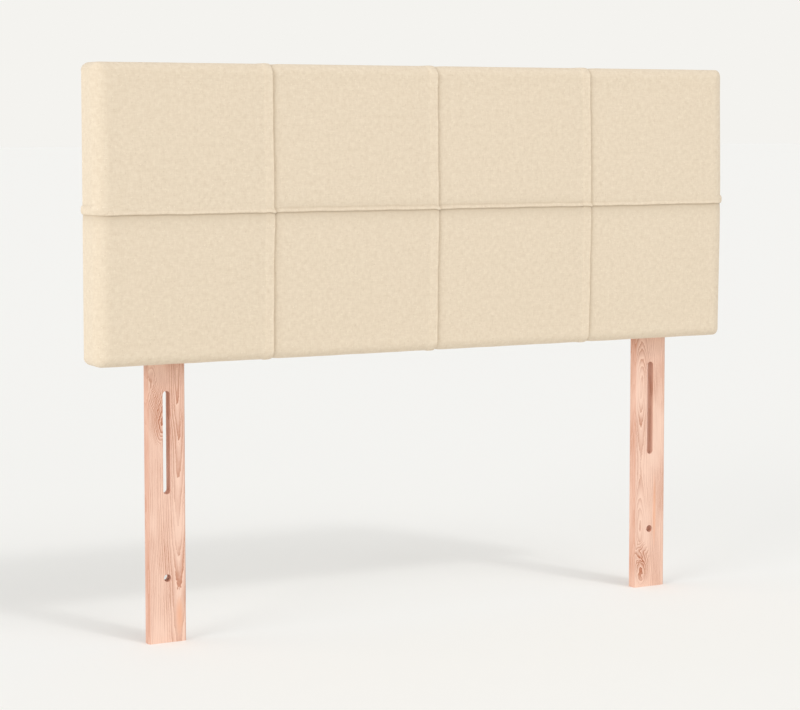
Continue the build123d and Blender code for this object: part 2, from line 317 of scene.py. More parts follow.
class ShaderTree:
    """A tree of shader nodes, and the few ways in which this script adds nodes to one."""

    def __init__(self, nodes: bpy.types.NodeTree) -> None:
        """Empty the tree, so that it holds only what this script adds."""
        self.nodes = nodes
        nodes.nodes.clear()

    def node(self, kind: str, settings: dict | None = None, inputs: dict | None = None) -> Made:
        """Add a node of any type.

        Args:
            kind: The node's type.
            settings: Its settings by name, set first; stops are a colour ramp's (place, colour) pairs.
            inputs: Values or links of its sockets, by name or number.

        Returns:
            The finished node.
        """
        node = self.nodes.nodes.new(kind)
        for name, setting in (settings or {}).items():
            if name == "stops":
                self.set_stops(node.color_ramp, setting)
            elif name == "interpolation":
                node.color_ramp.interpolation = setting
            else:
                setattr(node, name, setting)
        for name, given in (inputs or {}).items():
            socket = node.inputs[name]
            if isinstance(given, Value):
                self.nodes.links.new(given.socket, socket)
            else:
                socket.default_value = given
        return Made(self, node)

    @staticmethod
    def set_stops(ramp: bpy.types.ColorRamp, stops: Sequence[tuple[float, Colour]]) -> None:
        """Write the stops of a colour ramp that has two.

        Args:
            ramp: The colour ramp.
            stops: Its stops as (place, colour) pairs.
        """
        for _ in stops[2:]:
            ramp.elements.new(1.0)
        for element, (place, colour) in zip(ramp.elements, stops):
            element.position = place
            element.color = colour

    def ramp(self, factor: Value, stops: Sequence[tuple[float, float]], shape: str = "LINEAR") -> Value:
        """Read a number off a curve through (place, height) stops, in the ramp's given shape."""
        grey = [(place, (height, height, height, 1.0)) for place, height in stops]
        return self.node("ShaderNodeValToRGB", {"stops": grey, "interpolation": shape}, {0: factor})[0]

    def mix(self, factor: Value, first: "Value | Colour", second: "Value | Colour") -> Value:
        """Blend two colours by a factor. Sockets 6 and 7 take the colours, and output 2 gives the result."""
        return self.node("ShaderNodeMix", {"data_type": "RGBA"}, {0: factor, 6: first, 7: second})[2]

    def coordinates(self) -> Value:
        """The coordinates of the piece that is being shaded."""
        return self.node("ShaderNodeTexCoord")["Object"]

    def flat_cloth(self) -> Value:
        """The coordinates of the piece's flat cloth, in metres."""
        return self.node("ShaderNodeUVMap", {"uv_map": FLAT_MAP})[0]

    def placed(self, vector: Value, scale: Sequence[float], offset: Sequence[float] = (0, 0, 0)) -> Value:
        """Scale coordinates along each axis, then move them."""
        inputs = {"Vector": vector, "Scale": tuple(scale), "Location": tuple(offset)}
        return self.node("ShaderNodeMapping", None, inputs)[0]

    def split(self, vector: Value) -> tuple[Value, Value, Value]:
        """The x, y and z of coordinates."""
        made = self.node("ShaderNodeSeparateXYZ", None, {0: vector})
        return made[0], made[1], made[2]

    def joined(self, x: "Value | float", y: "Value | float", z: "Value | float") -> Value:
        """Coordinates put together from x, y and z."""
        return self.node("ShaderNodeCombineXYZ", None, {0: x, 1: y, 2: z})[0]

    def checks(self, cloth: Value, pitch: float, drift: "Value | float" = 0.0) -> Value:
        """Checks of a weave: the sine across times the sine up, both pushed along by a drift."""
        u, v, _ = self.split(cloth)
        return (u * (math.pi / pitch) + drift).sine() * (v * (math.pi / pitch) + drift).sine()

    def noise(self, vector: Value, scale: float, detail: float = 2.0, roughness: float = 0.5) -> Value:
        """Soft random values about a half, whose patches are one over scale wide."""
        inputs = {"Vector": vector, "Scale": scale, "Detail": detail, "Roughness": roughness}
        return self.node("ShaderNodeTexNoise", None, inputs)[0]

    def cells(self, vector: Value, scale: float) -> Value:
        """The distance to the nearest of random points that are about one over scale apart."""
        return self.node("ShaderNodeTexVoronoi", None, {"Vector": vector, "Scale": scale})["Distance"]

    def bump(self, height: Value, distance: float, strength: float = 1.0) -> Value:
        """Normals tilted as if the surface were raised by height times distance."""
        inputs = {"Height": height, "Distance": distance, "Strength": strength}
        return self.node("ShaderNodeBump", None, inputs)[0]

    def surface(self, **inputs: object) -> None:
        """End the tree in a Principled shader.

        Args:
            **inputs: Its sockets, with underscores for the spaces in their names.
        """
        named = {name.replace("_", " "): given for name, given in inputs.items()}
        shader = self.node("ShaderNodeBsdfPrincipled", None, named)
        self.node("ShaderNodeOutputMaterial", None, {0: shader[0]})


class Finish:
    """What a surface is finished in. Each kind of finish shades its own material.

    Attributes:
        name: Name of the material.
    """

    name: str

    def shade(self, tree: ShaderTree) -> None:
        """Fill the tree of this finish's material."""
        raise NotImplementedError

    def dress(self, *pieces: bpy.types.Object) -> None:
        """Make this finish's material and put it on pieces, in place of what they have.

        Args:
            *pieces: The pieces.
        """
        material = bpy.data.materials.new(self.name)
        material.use_nodes = True
        self.shade(ShaderTree(material.node_tree))
        for piece in pieces:
            piece.data.materials.clear()
            piece.data.materials.append(material)


@dataclass(frozen=True)
class FeltedLinen(Finish):
    """The cover's cloth: a fine plain weave whose brushed yarns blur it into soft light and dark flecks.

    Attributes:
        light: Colour of the thick yarns.
        dark: Colour between them.
        seam_shade_colour: Painted shade colour that darkens the cloth beside the seams.
        yarn_pitch: Distance from yarn to yarn.
        fleck: Length of a soft fleck.
        contrast: How strongly the flecks show.
        relief: Height of the weave.
    """

    name = "felted_linen"
    light: Colour = linear(235, 220.3, 197.3)
    dark: Colour = linear(216, 198.3, 173.8)
    seam_shade_colour: Colour = linear(202, 185.5, 162)
    yarn_pitch: float = 0.9 * MM
    fleck: float = 2.6 * MM
    contrast: float = 2.7
    relief: float = 0.16 * MM

    def spots(self, tree: ShaderTree, cloth: Value, density: float, radius: float) -> Value:
        """Scatter soft spots: a radius less the distance to the nearest of random points, steepened.

        Args:
            tree: The material's tree.
            cloth: Flat coordinates of the cloth.
            density: Number of random points along the length of a fleck.
            radius: Radius of a spot, as a share of the distance between the points.

        Returns:
            Values from 0 to 1, high in the spots.
        """
        steepness = 9
        return ((radius - tree.cells(cloth, density / self.fleck)) * steepness).held()

    def shade(self, tree: ShaderTree) -> None:
        """Mix two sets of long flecks, one along each yarn, with slubs, and the weave as fine relief.

        Args:
            tree: The material's tree.
        """
        cloth = tree.flat_cloth()
        along, over = 0.35, 1.3
        warps = tree.placed(cloth, (along, over, 1))
        wefts = tree.placed(cloth, (over, along, 1), offset=(3.1, 1.7, 0))
        flecks = (
            tree.noise(warps, scale=1 / self.fleck, detail=3, roughness=0.6)
            + tree.noise(wefts, scale=1 / self.fleck, detail=3, roughness=0.6)
            + tree.noise(cloth, scale=0.4 / self.fleck, detail=1)
        )
        shade = ((flecks / 3 - 0.5) * self.contrast + 0.5).held()
        slubs = self.spots(tree, cloth, density=0.4, radius=0.17)
        moved = tree.placed(cloth, (1, 1, 1), offset=(7, 9, 0))
        gaps = self.spots(tree, moved, density=0.33, radius=0.14)
        drift = tree.noise(cloth, scale=0.5 / self.fleck, detail=2) * 2.5
        weave = tree.checks(cloth, self.yarn_pitch, drift) * 0.5 + 0.5
        fuzz = tree.noise(cloth, scale=3.2 / self.yarn_pitch, detail=2)
        tone = (shade * 0.86 + weave * 0.14 + slubs * 0.6 - gaps * 0.6).held()
        # Painted shade beside the seams: the cloth's colour is mixed towards a darker colour by the share
        # stored on each cloth.
        seam_shade = tree.node("ShaderNodeAttribute", {"attribute_name": PAINTED_SEAM_SHADE})["Fac"]
        tree.surface(
            Base_Color=tree.mix(seam_shade, tree.mix(tone, self.dark, self.light), self.seam_shade_colour),
            Roughness=0.94,
            Specular_IOR_Level=0.18,
            Sheen_Weight=0.1,
            Sheen_Roughness=0.6,
            Normal=tree.bump(weave * 0.5 + fuzz * 0.4 + shade * 0.9 + slubs * 0.6, self.relief),
        )


@dataclass(frozen=True)
class Patch:
    """An upright oval patch of a plank's face.

    Attributes:
        offset: How far its middle stands to the right of the plank's middle.
        height: Height of its middle.
        half_width: Half of its width.
        half_height: Half of its height.
    """

    offset: float
    height: float
    half_width: float
    half_height: float


@dataclass(frozen=True)
class PlankFigure:
    """Where the growth rings of a plank lie, which decides the arches that its faces show.

    Attributes:
        middle: X of the plank's middle.
        heart_offset: How far the rings' centre line stands to the right of the middle.
        depth_stops: Height up the plank as a share, and depth of the centre line as a share of heart_depth.
        heart_depth: Greatest depth of the centre line behind the front face.
        curly: Patch of short wavy grain beside a hidden knot.
        resin: Patch of warm colour.
        drift: Offset that gives the plank its own random figure.
    """

    middle: float
    heart_offset: float
    depth_stops: tuple[tuple[float, float], ...]
    heart_depth: float
    curly: Patch
    resin: Patch
    drift: float


@dataclass(frozen=True)
class PlanedPine(Finish):
    """Planed softwood: growth rings cut at a slant, pores and fibres along the length, raw and pinkish.

    Attributes:
        figure: Where the rings lie.
        front: Y of the plank's front face.
        back: Y of its back face.
        length: Length of the plank.
        light: Colour of the early wood.
        dark: Colour of the late wood.
        warm: Colour of the resinous streak.
        year_stops: Share of a year's growth, and how dark the wood is there.
        ring_width: Mean width of a year's growth.
        wander: How far the rings' centre line strays sideways on its way up.
        wave: How far the long grain bends a ring.
        curl: How far the curly patch bends it.
        lean: How far the rings lean over in the curly patch, for each metre of height.
        ripple: How far the fine grain bends it.
        wall_shade_depth: Depth below the faces at which the painted shade on the sides and slot walls is
            full.
        relief: Height of the grain.
    """

    name = "planed_pine"
    figure: PlankFigure
    front: float
    back: float
    length: float
    light: Colour = linear(243, 207, 187)
    dark: Colour = linear(184, 118, 88)
    warm: Colour = linear(238, 172, 132)
    year_stops: tuple[tuple[float, float], ...] = (
        (0.0, 0.0), (0.14, 0.2), (0.5, 0.45), (0.84, 0.88), (0.93, 1.0), (0.97, 0.0))
    ring_width: float = 2.8 * MM
    wander: float = 8 * MM
    wave: float = 2.6 * MM
    curl: float = 9 * MM
    lean: float = 0.45
    ripple: float = 1.1 * MM
    wall_shade_depth: float = 0.25 * MM
    relief: float = 0.12 * MM

    def inside(self, patch: Patch, x: Value, z: Value) -> Value:
        """How far inside a patch a point lies: 1 less the squared distance from its middle, never below 0.

        Args:
            patch: The patch.
            x: X of the point.
            z: Z of the point.

        Returns:
            Values from 0 at the patch's edge to 1 at its middle.
        """
        tall = (z - patch.height) / patch.half_height
        wide = (x - (self.figure.middle + patch.offset)) / patch.half_width
        return (1 - (tall * tall + wide * wide)).held()

    def from_heart(self, tree: ShaderTree, place: Value, curls: Value) -> Value:
        """Distance from the wandering centre line of the rings, bent by the grain.

        It is the root of the squares across and behind the line, plus three noises: one stretched along
        the grain, one that slants and leans in the curly patch, and a fine one.

        Args:
            tree: The material's tree.
            place: Object coordinates.
            curls: How far inside the curly patch a point lies.

        Returns:
            The distance in metres.
        """
        figure = self.figure
        x, y, z = tree.split(place)
        depth = tree.ramp(z / self.length, figure.depth_stops, "B_SPLINE") * figure.heart_depth
        wander = (tree.noise(tree.joined(figure.drift, 0.0, z), scale=12, detail=2) - 0.5) * self.wander
        across = x - (figure.middle + figure.heart_offset) - wander
        behind = y - self.front - depth
        long_grain = tree.placed(place, (1, 1, 0.16), offset=(figure.drift, 0, 0))
        slanted = tree.joined(x + z * 0.6, y, z * 0.55 - x * 0.25)
        leaning = (z - figure.curly.height) * self.lean
        return (
            (across * across * 1.5 + behind * behind) ** 0.5
            + (tree.noise(long_grain, scale=110, detail=3, roughness=0.55) - 0.5) * self.wave
            + ((tree.noise(slanted, scale=120, detail=1) - 0.5) * self.curl + leaning) * curls
            + (tree.noise(tree.placed(place, (1, 1, 0.5)), scale=520, detail=2) - 0.5) * self.ripple
        )

    def shade(self, tree: ShaderTree) -> None:
        """Ring number is the distance from the heart over the ring width, and its fraction is the tone.

        Args:
            tree: The material's tree.
        """
        figure = self.figure
        place = tree.coordinates()
        x, y, z = tree.split(place)
        curls = self.inside(figure.curly, x, z)
        distance = self.from_heart(tree, place, curls)
        uneven = tree.noise(tree.joined(distance, figure.drift, 0.0), scale=130, detail=1)
        late = tree.ramp((distance / self.ring_width + uneven * 2.2) % 1.0, self.year_stops)
        fibres = tree.noise(tree.placed(place, (1, 1, 0.035)), scale=1500, detail=2, roughness=0.6)
        blotch = tree.noise(tree.placed(place, (1, 1, 0.3), offset=(0, 0, figure.drift)), scale=34, detail=2)
        # Painted shade: the sides and slot walls, below the faces, are darkened and their rings weakened.
        below_face = (self.back - self.front) / 2 - (y - (self.front + self.back) / 2).absolute()
        painted_wall_shade = (below_face / self.wall_shade_depth).held()
        weight = ((blotch * 2.2 - 0.4).held() + curls * 0.6) * (1 - painted_wall_shade * 0.65)
        tone = late * weight * 0.88 + (fibres - 0.5) * 0.4 + (blotch - 0.5) * 0.45
        tone = (tone + curls * 0.12 + painted_wall_shade * 0.48 - 0.075).held()
        plain = tree.mix(tone, self.light, self.dark)
        tree.surface(
            Base_Color=tree.mix(self.inside(figure.resin, x, z) * 0.55, plain, self.warm),
            Roughness=0.62 + tone * 0.16,
            Specular_IOR_Level=0.3,
            Normal=tree.bump(late * 0.3 + fibres * 0.7, self.relief, strength=0.8),
        )


class Grain(Enum):
    """Which way the grain of a timber runs: the scales that squeeze its figure along X or Z."""

    ACROSS = (0.05, 1.0, 1.0)
    UP = (1.0, 1.0, 0.05)


@dataclass(frozen=True)
class SawnPine(Finish):
    """Sawn softwood of the frame: broad rings, torn fibres and the marks of the saw.

    Attributes:
        grain: Which way the grain runs.
        light: Colour of the early wood.
        dark: Colour of the late wood.
        saw_pitch: Distance from one mark of the saw to the next.
        relief: Height of the fibres and marks.
    """

    grain: Grain
    light: Colour = linear(238, 212, 170)
    dark: Colour = linear(202, 160, 112)
    saw_pitch: float = 3.4 * MM
    relief: float = 0.25 * MM

    @property
    def name(self) -> str:
        """The material's name, which says which way its grain runs."""
        return f"sawn_pine_{self.grain.name.lower()}"

    def shade(self, tree: ShaderTree) -> None:
        """Rings are sine bands of a stretched noise, with saw marks as a slanting wave along the grain.

        Args:
            tree: The material's tree.
        """
        place = tree.coordinates()
        stretched = tree.placed(place, self.grain.value)
        rings = (tree.noise(stretched, scale=60, detail=2) * 90).sine() * 0.5 + 0.5
        fibres = tree.noise(stretched, scale=1100, detail=3, roughness=0.7)
        x, _, z = tree.split(place)
        along, over = (x, z) if self.grain is Grain.ACROSS else (z, x)
        marks = ((along + over * 0.2) * (FULL_TURN / self.saw_pitch)).sine() * 0.5 + 0.5
        tree.surface(
            Base_Color=tree.mix((rings * 0.4 + fibres * 0.5 + 0.05).held(), self.light, self.dark),
            Roughness=0.85,
            Specular_IOR_Level=0.2,
            Normal=tree.bump(fibres * 0.7 + marks * 0.3, self.relief),
        )


@dataclass(frozen=True)
class Hardboard(Finish):
    """Smooth brown board of pressed wood fibre.

    Attributes:
        light: Colour of the raised fibres.
        dark: Colour between them.
        relief: Height of the fibres.
    """

    name = "hardboard"
    light: Colour = linear(176, 134, 92)
    dark: Colour = linear(118, 82, 52)
    relief: float = 0.06 * MM

    def shade(self, tree: ShaderTree) -> None:
        """Short tangled fibres over slow clouds.

        Args:
            tree: The material's tree.
        """
        place = tree.coordinates()
        fibres = tree.noise(place, scale=700, detail=4, roughness=0.7)
        clouds = tree.noise(place, scale=40, detail=2)
        tree.surface(
            Base_Color=tree.mix((fibres * 0.9 + clouds * 0.5 - 0.2).held(), self.light, self.dark),
            Roughness=0.5,
            Specular_IOR_Level=0.3,
            Normal=tree.bump(fibres, self.relief),
        )


@dataclass(frozen=True)
class OpenFoam(Finish):
    """Pale open-cell foam.

    Attributes:
        light: Colour of the foam's ribs.
        dark: Colour of its cells, darkened as painted shade in their hollows.
        cell: Size of a cell.
        relief: Depth of a cell.
    """

    name = "open_foam"
    light: Colour = linear(246, 238, 210)
    dark: Colour = linear(214, 200, 160)
    cell: float = 0.9 * MM
    relief: float = 0.4 * MM

    def shade(self, tree: ShaderTree) -> None:
        """Random round cells, deeper at their middles and darker there as painted shade.

        Args:
            tree: The material's tree.
        """
        cells = tree.cells(tree.coordinates(), 1 / self.cell)
        tree.surface(
            Base_Color=tree.mix((1 - cells).held(), self.light, self.dark),
            Roughness=1.0,
            Specular_IOR_Level=0.1,
            Normal=tree.bump(cells, self.relief),
        )


@dataclass(frozen=True)
class SpunLining(Finish):
    """Thin lining of fibres laid at random and welded together in a grid of small dots.

    Attributes:
        light: Colour of the fibres.
        dark: Colour of the welded dots.
        dot_pitch: Distance from dot to dot.
        relief: Height of the fibres over the dots.
    """

    name = "spun_lining"
    light: Colour = linear(226, 220, 206)
    dark: Colour = linear(200, 193, 177)
    dot_pitch: float = 1.5 * MM
    relief: float = 0.08 * MM

    def shade(self, tree: ShaderTree) -> None:
        """Dots are where the product of two sines is high; fibres are fine noise; clouds vary the weight.

        Args:
            tree: The material's tree.
        """
        cloth = tree.flat_cloth()
        dots = tree.checks(cloth, self.dot_pitch)
        welded = ((dots * dots - 0.45) * 4).held()
        fibres = tree.noise(tree.placed(cloth, (1, 0.5, 1)), scale=2600, detail=3, roughness=0.7)
        clouds = tree.noise(cloth, scale=90, detail=3)
        tone = (welded * 0.5 + fibres * 0.35 + clouds * 0.5 - 0.2).held()
        tree.surface(
            Base_Color=tree.mix(tone, self.light, self.dark),
            Roughness=0.9,
            Specular_IOR_Level=0.2,
            Normal=tree.bump(fibres * 0.4 + (1 - welded) * 0.6, self.relief),
        )


@dataclass(frozen=True)
class ZincPlate(Finish):
    """Bright zinc plate on steel, a little uneven in its gloss.

    Attributes:
        name: Name of the material.
        light: Colour of clean plate.
        dark: Colour where it has dulled.
        rough: Roughness of clean plate.
        relief: Depth of the scratches.
    """

    name: str
    light: Colour = linear(214, 216, 220)
    dark: Colour = linear(170, 172, 176)
    rough: float = 0.3
    relief: float = 0.01 * MM

    def shade(self, tree: ShaderTree) -> None:
        """Cloudy dulling over the plate, with fine scratches in its gloss.

        Args:
            tree: The material's tree.
        """
        place = tree.coordinates()
        clouds = tree.noise(place, scale=260, detail=4, roughness=0.6)
        scratches = tree.noise(tree.placed(place, (1, 1, 0.1)), scale=3000, detail=2)
        tree.surface(
            Base_Color=tree.mix(((clouds - 0.35) * 2).held(), self.light, self.dark),
            Metallic=1.0,
            Roughness=self.rough + clouds * 0.12 + scratches * 0.12,
            Normal=tree.bump(scratches, self.relief),
        )


@dataclass(frozen=True)
class PlainFloor(Finish):
    """Matt floor of one even colour.

    Attributes:
        colour: Its colour.
    """

    name = "studio_floor"
    colour: Colour

    def shade(self, tree: ShaderTree) -> None:
        """One colour without gloss."""
        tree.surface(Base_Color=self.colour, Roughness=1.0, Specular_IOR_Level=0.0)


@dataclass(frozen=True)
class Seam:
    """A plain seam whose allowances are both pressed to one side, under the edge of one cloth.

    Attributes:
        lap_width: Width of the allowances under the cloth.
        lap_height: How far they raise its edge.
        roll_share: Share of the height that rises only near the edge.
        roll_width: Width over which it rises.
        fold_radius: Radius of the folded edge.
        sink: How deep both cloths dip at the seam.
        crease_width: Reach of the sharp part of the dip in the other cloth.
        valley_width: Reach of the whole dip.
        crease_share: Share of the dip that is sharp.
        bulk_height: Height of the rounded bulge that the allowances make where the seam turns over an edge.
        print_height: Height of the small step where the allowances end under the cloth.
        print_width: Width of that step.
        seam_shade: How strongly painted shade darkens the other cloth beside the seam.
        seam_shade_width: How far that painted shade reaches.
        steps: Number of grid lines over the raised edge.
        fold_steps: Number of grid lines over its fold.
    """

    lap_width: float
    lap_height: float
    roll_share: float
    roll_width: float = 3.0 * MM
    fold_radius: float = 0.7 * MM
    sink: float = 1.5 * MM
    crease_width: float = 1.5 * MM
    valley_width: float = 18 * MM
    crease_share: float = 0.4
    bulk_height: float = 1.2 * MM
    print_height: float = 0.25 * MM
    print_width: float = 1.6 * MM
    seam_shade: float = 0.4
    seam_shade_width: float = 5 * MM
    steps: int = 18
    fold_steps: int = 6

    def lap(self) -> tuple[Array, Array, Array]:
        """Places and heights of the raised edge, towards the seam.

        The height is a small step, a straight rise and a smooth rise near the edge, then a quarter circle
        and a drop. Where the seam turns over an edge of the panel it is half an ellipse instead.

        Returns:
            Distances from the seam, below zero, heights of the cloth, and its heights over an edge.
        """
        crest = -self.fold_radius
        place = np.linspace(-self.lap_width, crest, self.steps)
        rise = (place + self.lap_width) / (self.lap_width - self.fold_radius)
        roll = smooth_step((place + self.roll_width) / (self.roll_width - self.fold_radius))
        step = self.print_height * smooth_step((place + self.lap_width) / self.print_width)
        slope = (1 - self.roll_share) * rise + self.roll_share * roll
        height = step + (self.lap_height - self.print_height) * slope
        angle = np.linspace(0, QUARTER_TURN, self.fold_steps)[1:]
        fold_place = crest + self.fold_radius * np.sin(angle)
        fold_height = self.lap_height - self.fold_radius * (1 - np.cos(angle))
        drop = np.linspace(0, 1, self.fold_steps)[1:]
        drop_height = fold_height[-1] + (-self.sink - fold_height[-1]) * drop
        laid = np.concatenate([place, fold_place])
        bulk = self.bulk_height * np.sqrt(held(1 - (2 * laid / self.lap_width + 1) ** 2))
        return (
            np.concatenate([laid, np.zeros(len(drop))]),
            np.concatenate([height, fold_height, drop_height]),
            np.concatenate([bulk, -self.sink * drop]),
        )

    def valley(self) -> tuple[Array, Array, Array]:
        """Places and heights of the other cloth, away from the seam.

        The depth is a sharp crease that fades exponentially, plus a wide valley that fades as a power.

        Returns:
            Distances from the seam, heights of the cloth, and its heights over an edge, which are the same.
        """
        share = np.linspace(0, 1, self.steps + self.fold_steps) ** 2
        place = self.valley_width * share
        crease = self.crease_share * np.exp(-place / self.crease_width)
        height = -self.sink * (crease + (1 - self.crease_share) * (1 - share) ** 2.5)
        return place, height, height


class Edge(Enum):
    """What an edge of a piece of cloth ends in."""

    HEM = "hem"
    LAP = "lap"
    VALLEY = "valley"


@dataclass
class Swelling:
    """How the foam swells the front between the seams, from a short simulation of the cloth over it.

    The front is a grid of cloth, held where it turns over the edges and along the seams, and pushed out
    from behind. Its depth is scaled down to that of a taut cover.

    Attributes:
        step: Distance from one grid line to the next.
        pressure: How hard the foam pushes.
        quality: Number of steps that the simulation takes in each frame.
        last_frame: Frame at which the cloth has come to rest.
        height: Height of the highest point once it is scaled.
        ease: Width over which it fades out towards the edges of the front.
    """

    step: float = 7 * MM
    pressure: float = 4.0
    quality: int = 6
    last_frame: int = 20
    height: float = 1.5 * MM
    ease: float = 45 * MM

    def simulate(self, half_a: float, half_b: float, seams: Sequence[float]) -> None:
        """Run the simulation and keep the height of each grid point.

        Args:
            half_a: Half the width of the front.
            half_b: Half its height.
            seams: Places of the upright seams. The cross seam is at mid height.
        """
        self.half_a, self.half_b = half_a, half_b
        self.line_a = stations(-half_a, half_a, self.step)
        self.line_b = stations(-half_b, half_b, self.step)
        a, b = np.meshgrid(self.line_a, self.line_b)
        self.rise = np.zeros(a.shape)
        sheet = Surface.from_grid(np.stack([a, np.zeros(a.shape), b], axis=-1)).to_object("swelling")
        pinned = (np.abs(a) > half_a - TOUCH) | (np.abs(b) > half_b - TOUCH) | (np.abs(b) < self.step / 2)
        for seam in seams:
            pinned |= np.abs(a - seam) <= self.step / 2
        pins = sheet.vertex_groups.new(name="pinned")
        pins.add(np.flatnonzero(pinned.ravel()).tolist(), 1.0, "REPLACE")
        cloth = sheet.modifiers.new("cloth", "CLOTH")
        cloth.settings.quality = self.quality
        cloth.settings.vertex_group_mass = pins.name
        cloth.settings.use_pressure = True
        cloth.settings.uniform_pressure_force = self.pressure
        cloth.settings.effector_weights.gravity = 0.0
        cloth.collision_settings.use_collision = False
        for frame_number in range(1, self.last_frame + 1):
            bpy.context.scene.frame_set(frame_number)
        pushed = sheet.evaluated_get(bpy.context.evaluated_depsgraph_get()).data
        points = np.empty(a.size * 3, np.float32)
        pushed.vertices.foreach_get("co", points)
        depth = np.abs(points.reshape(-1, 3)[:, 1]).reshape(a.shape)
        log.info("swelling: simulated to %.1f mm, scaled to %.1f mm", depth.max() / MM, self.height / MM)
        self.rise = depth * (self.height / max(float(depth.max()), TINY))
        mesh = sheet.data
        bpy.data.objects.remove(sheet)
        bpy.data.meshes.remove(mesh)
        bpy.context.scene.frame_set(1)

    def at(self, a: Array, b: Array) -> Array:
        """Height at any place: a quadratic spline through the grid, eased out towards the front's edges.

        Args:
            a: Flat coordinates across.
            b: Flat coordinates up.

        Returns:
            The heights.
        """
        weights = []
        for place, line in ((a, self.line_a), (b, self.line_b)):
            share = np.clip((place - line[0]) / (line[1] - line[0]), 0.5, len(line) - 1.5)
            number = np.clip(np.round(share).astype(int), 1, len(line) - 2)
            off = share - number
            spline = (0.5 * (0.5 - off) ** 2, 0.75 - off ** 2, 0.5 * (0.5 + off) ** 2)
            weights.append([(number + side, weight) for side, weight in zip((-1, 0, 1), spline)])
        total = sum(
            weight_a * weight_b * self.rise[number_b, number_a]
            for number_b, weight_b in weights[1]
            for number_a, weight_a in weights[0]
        )
        eased_a = smooth_step((self.half_a - np.abs(a)) / self.ease)
        return total * eased_a * smooth_step((self.half_b - np.abs(b)) / self.ease)


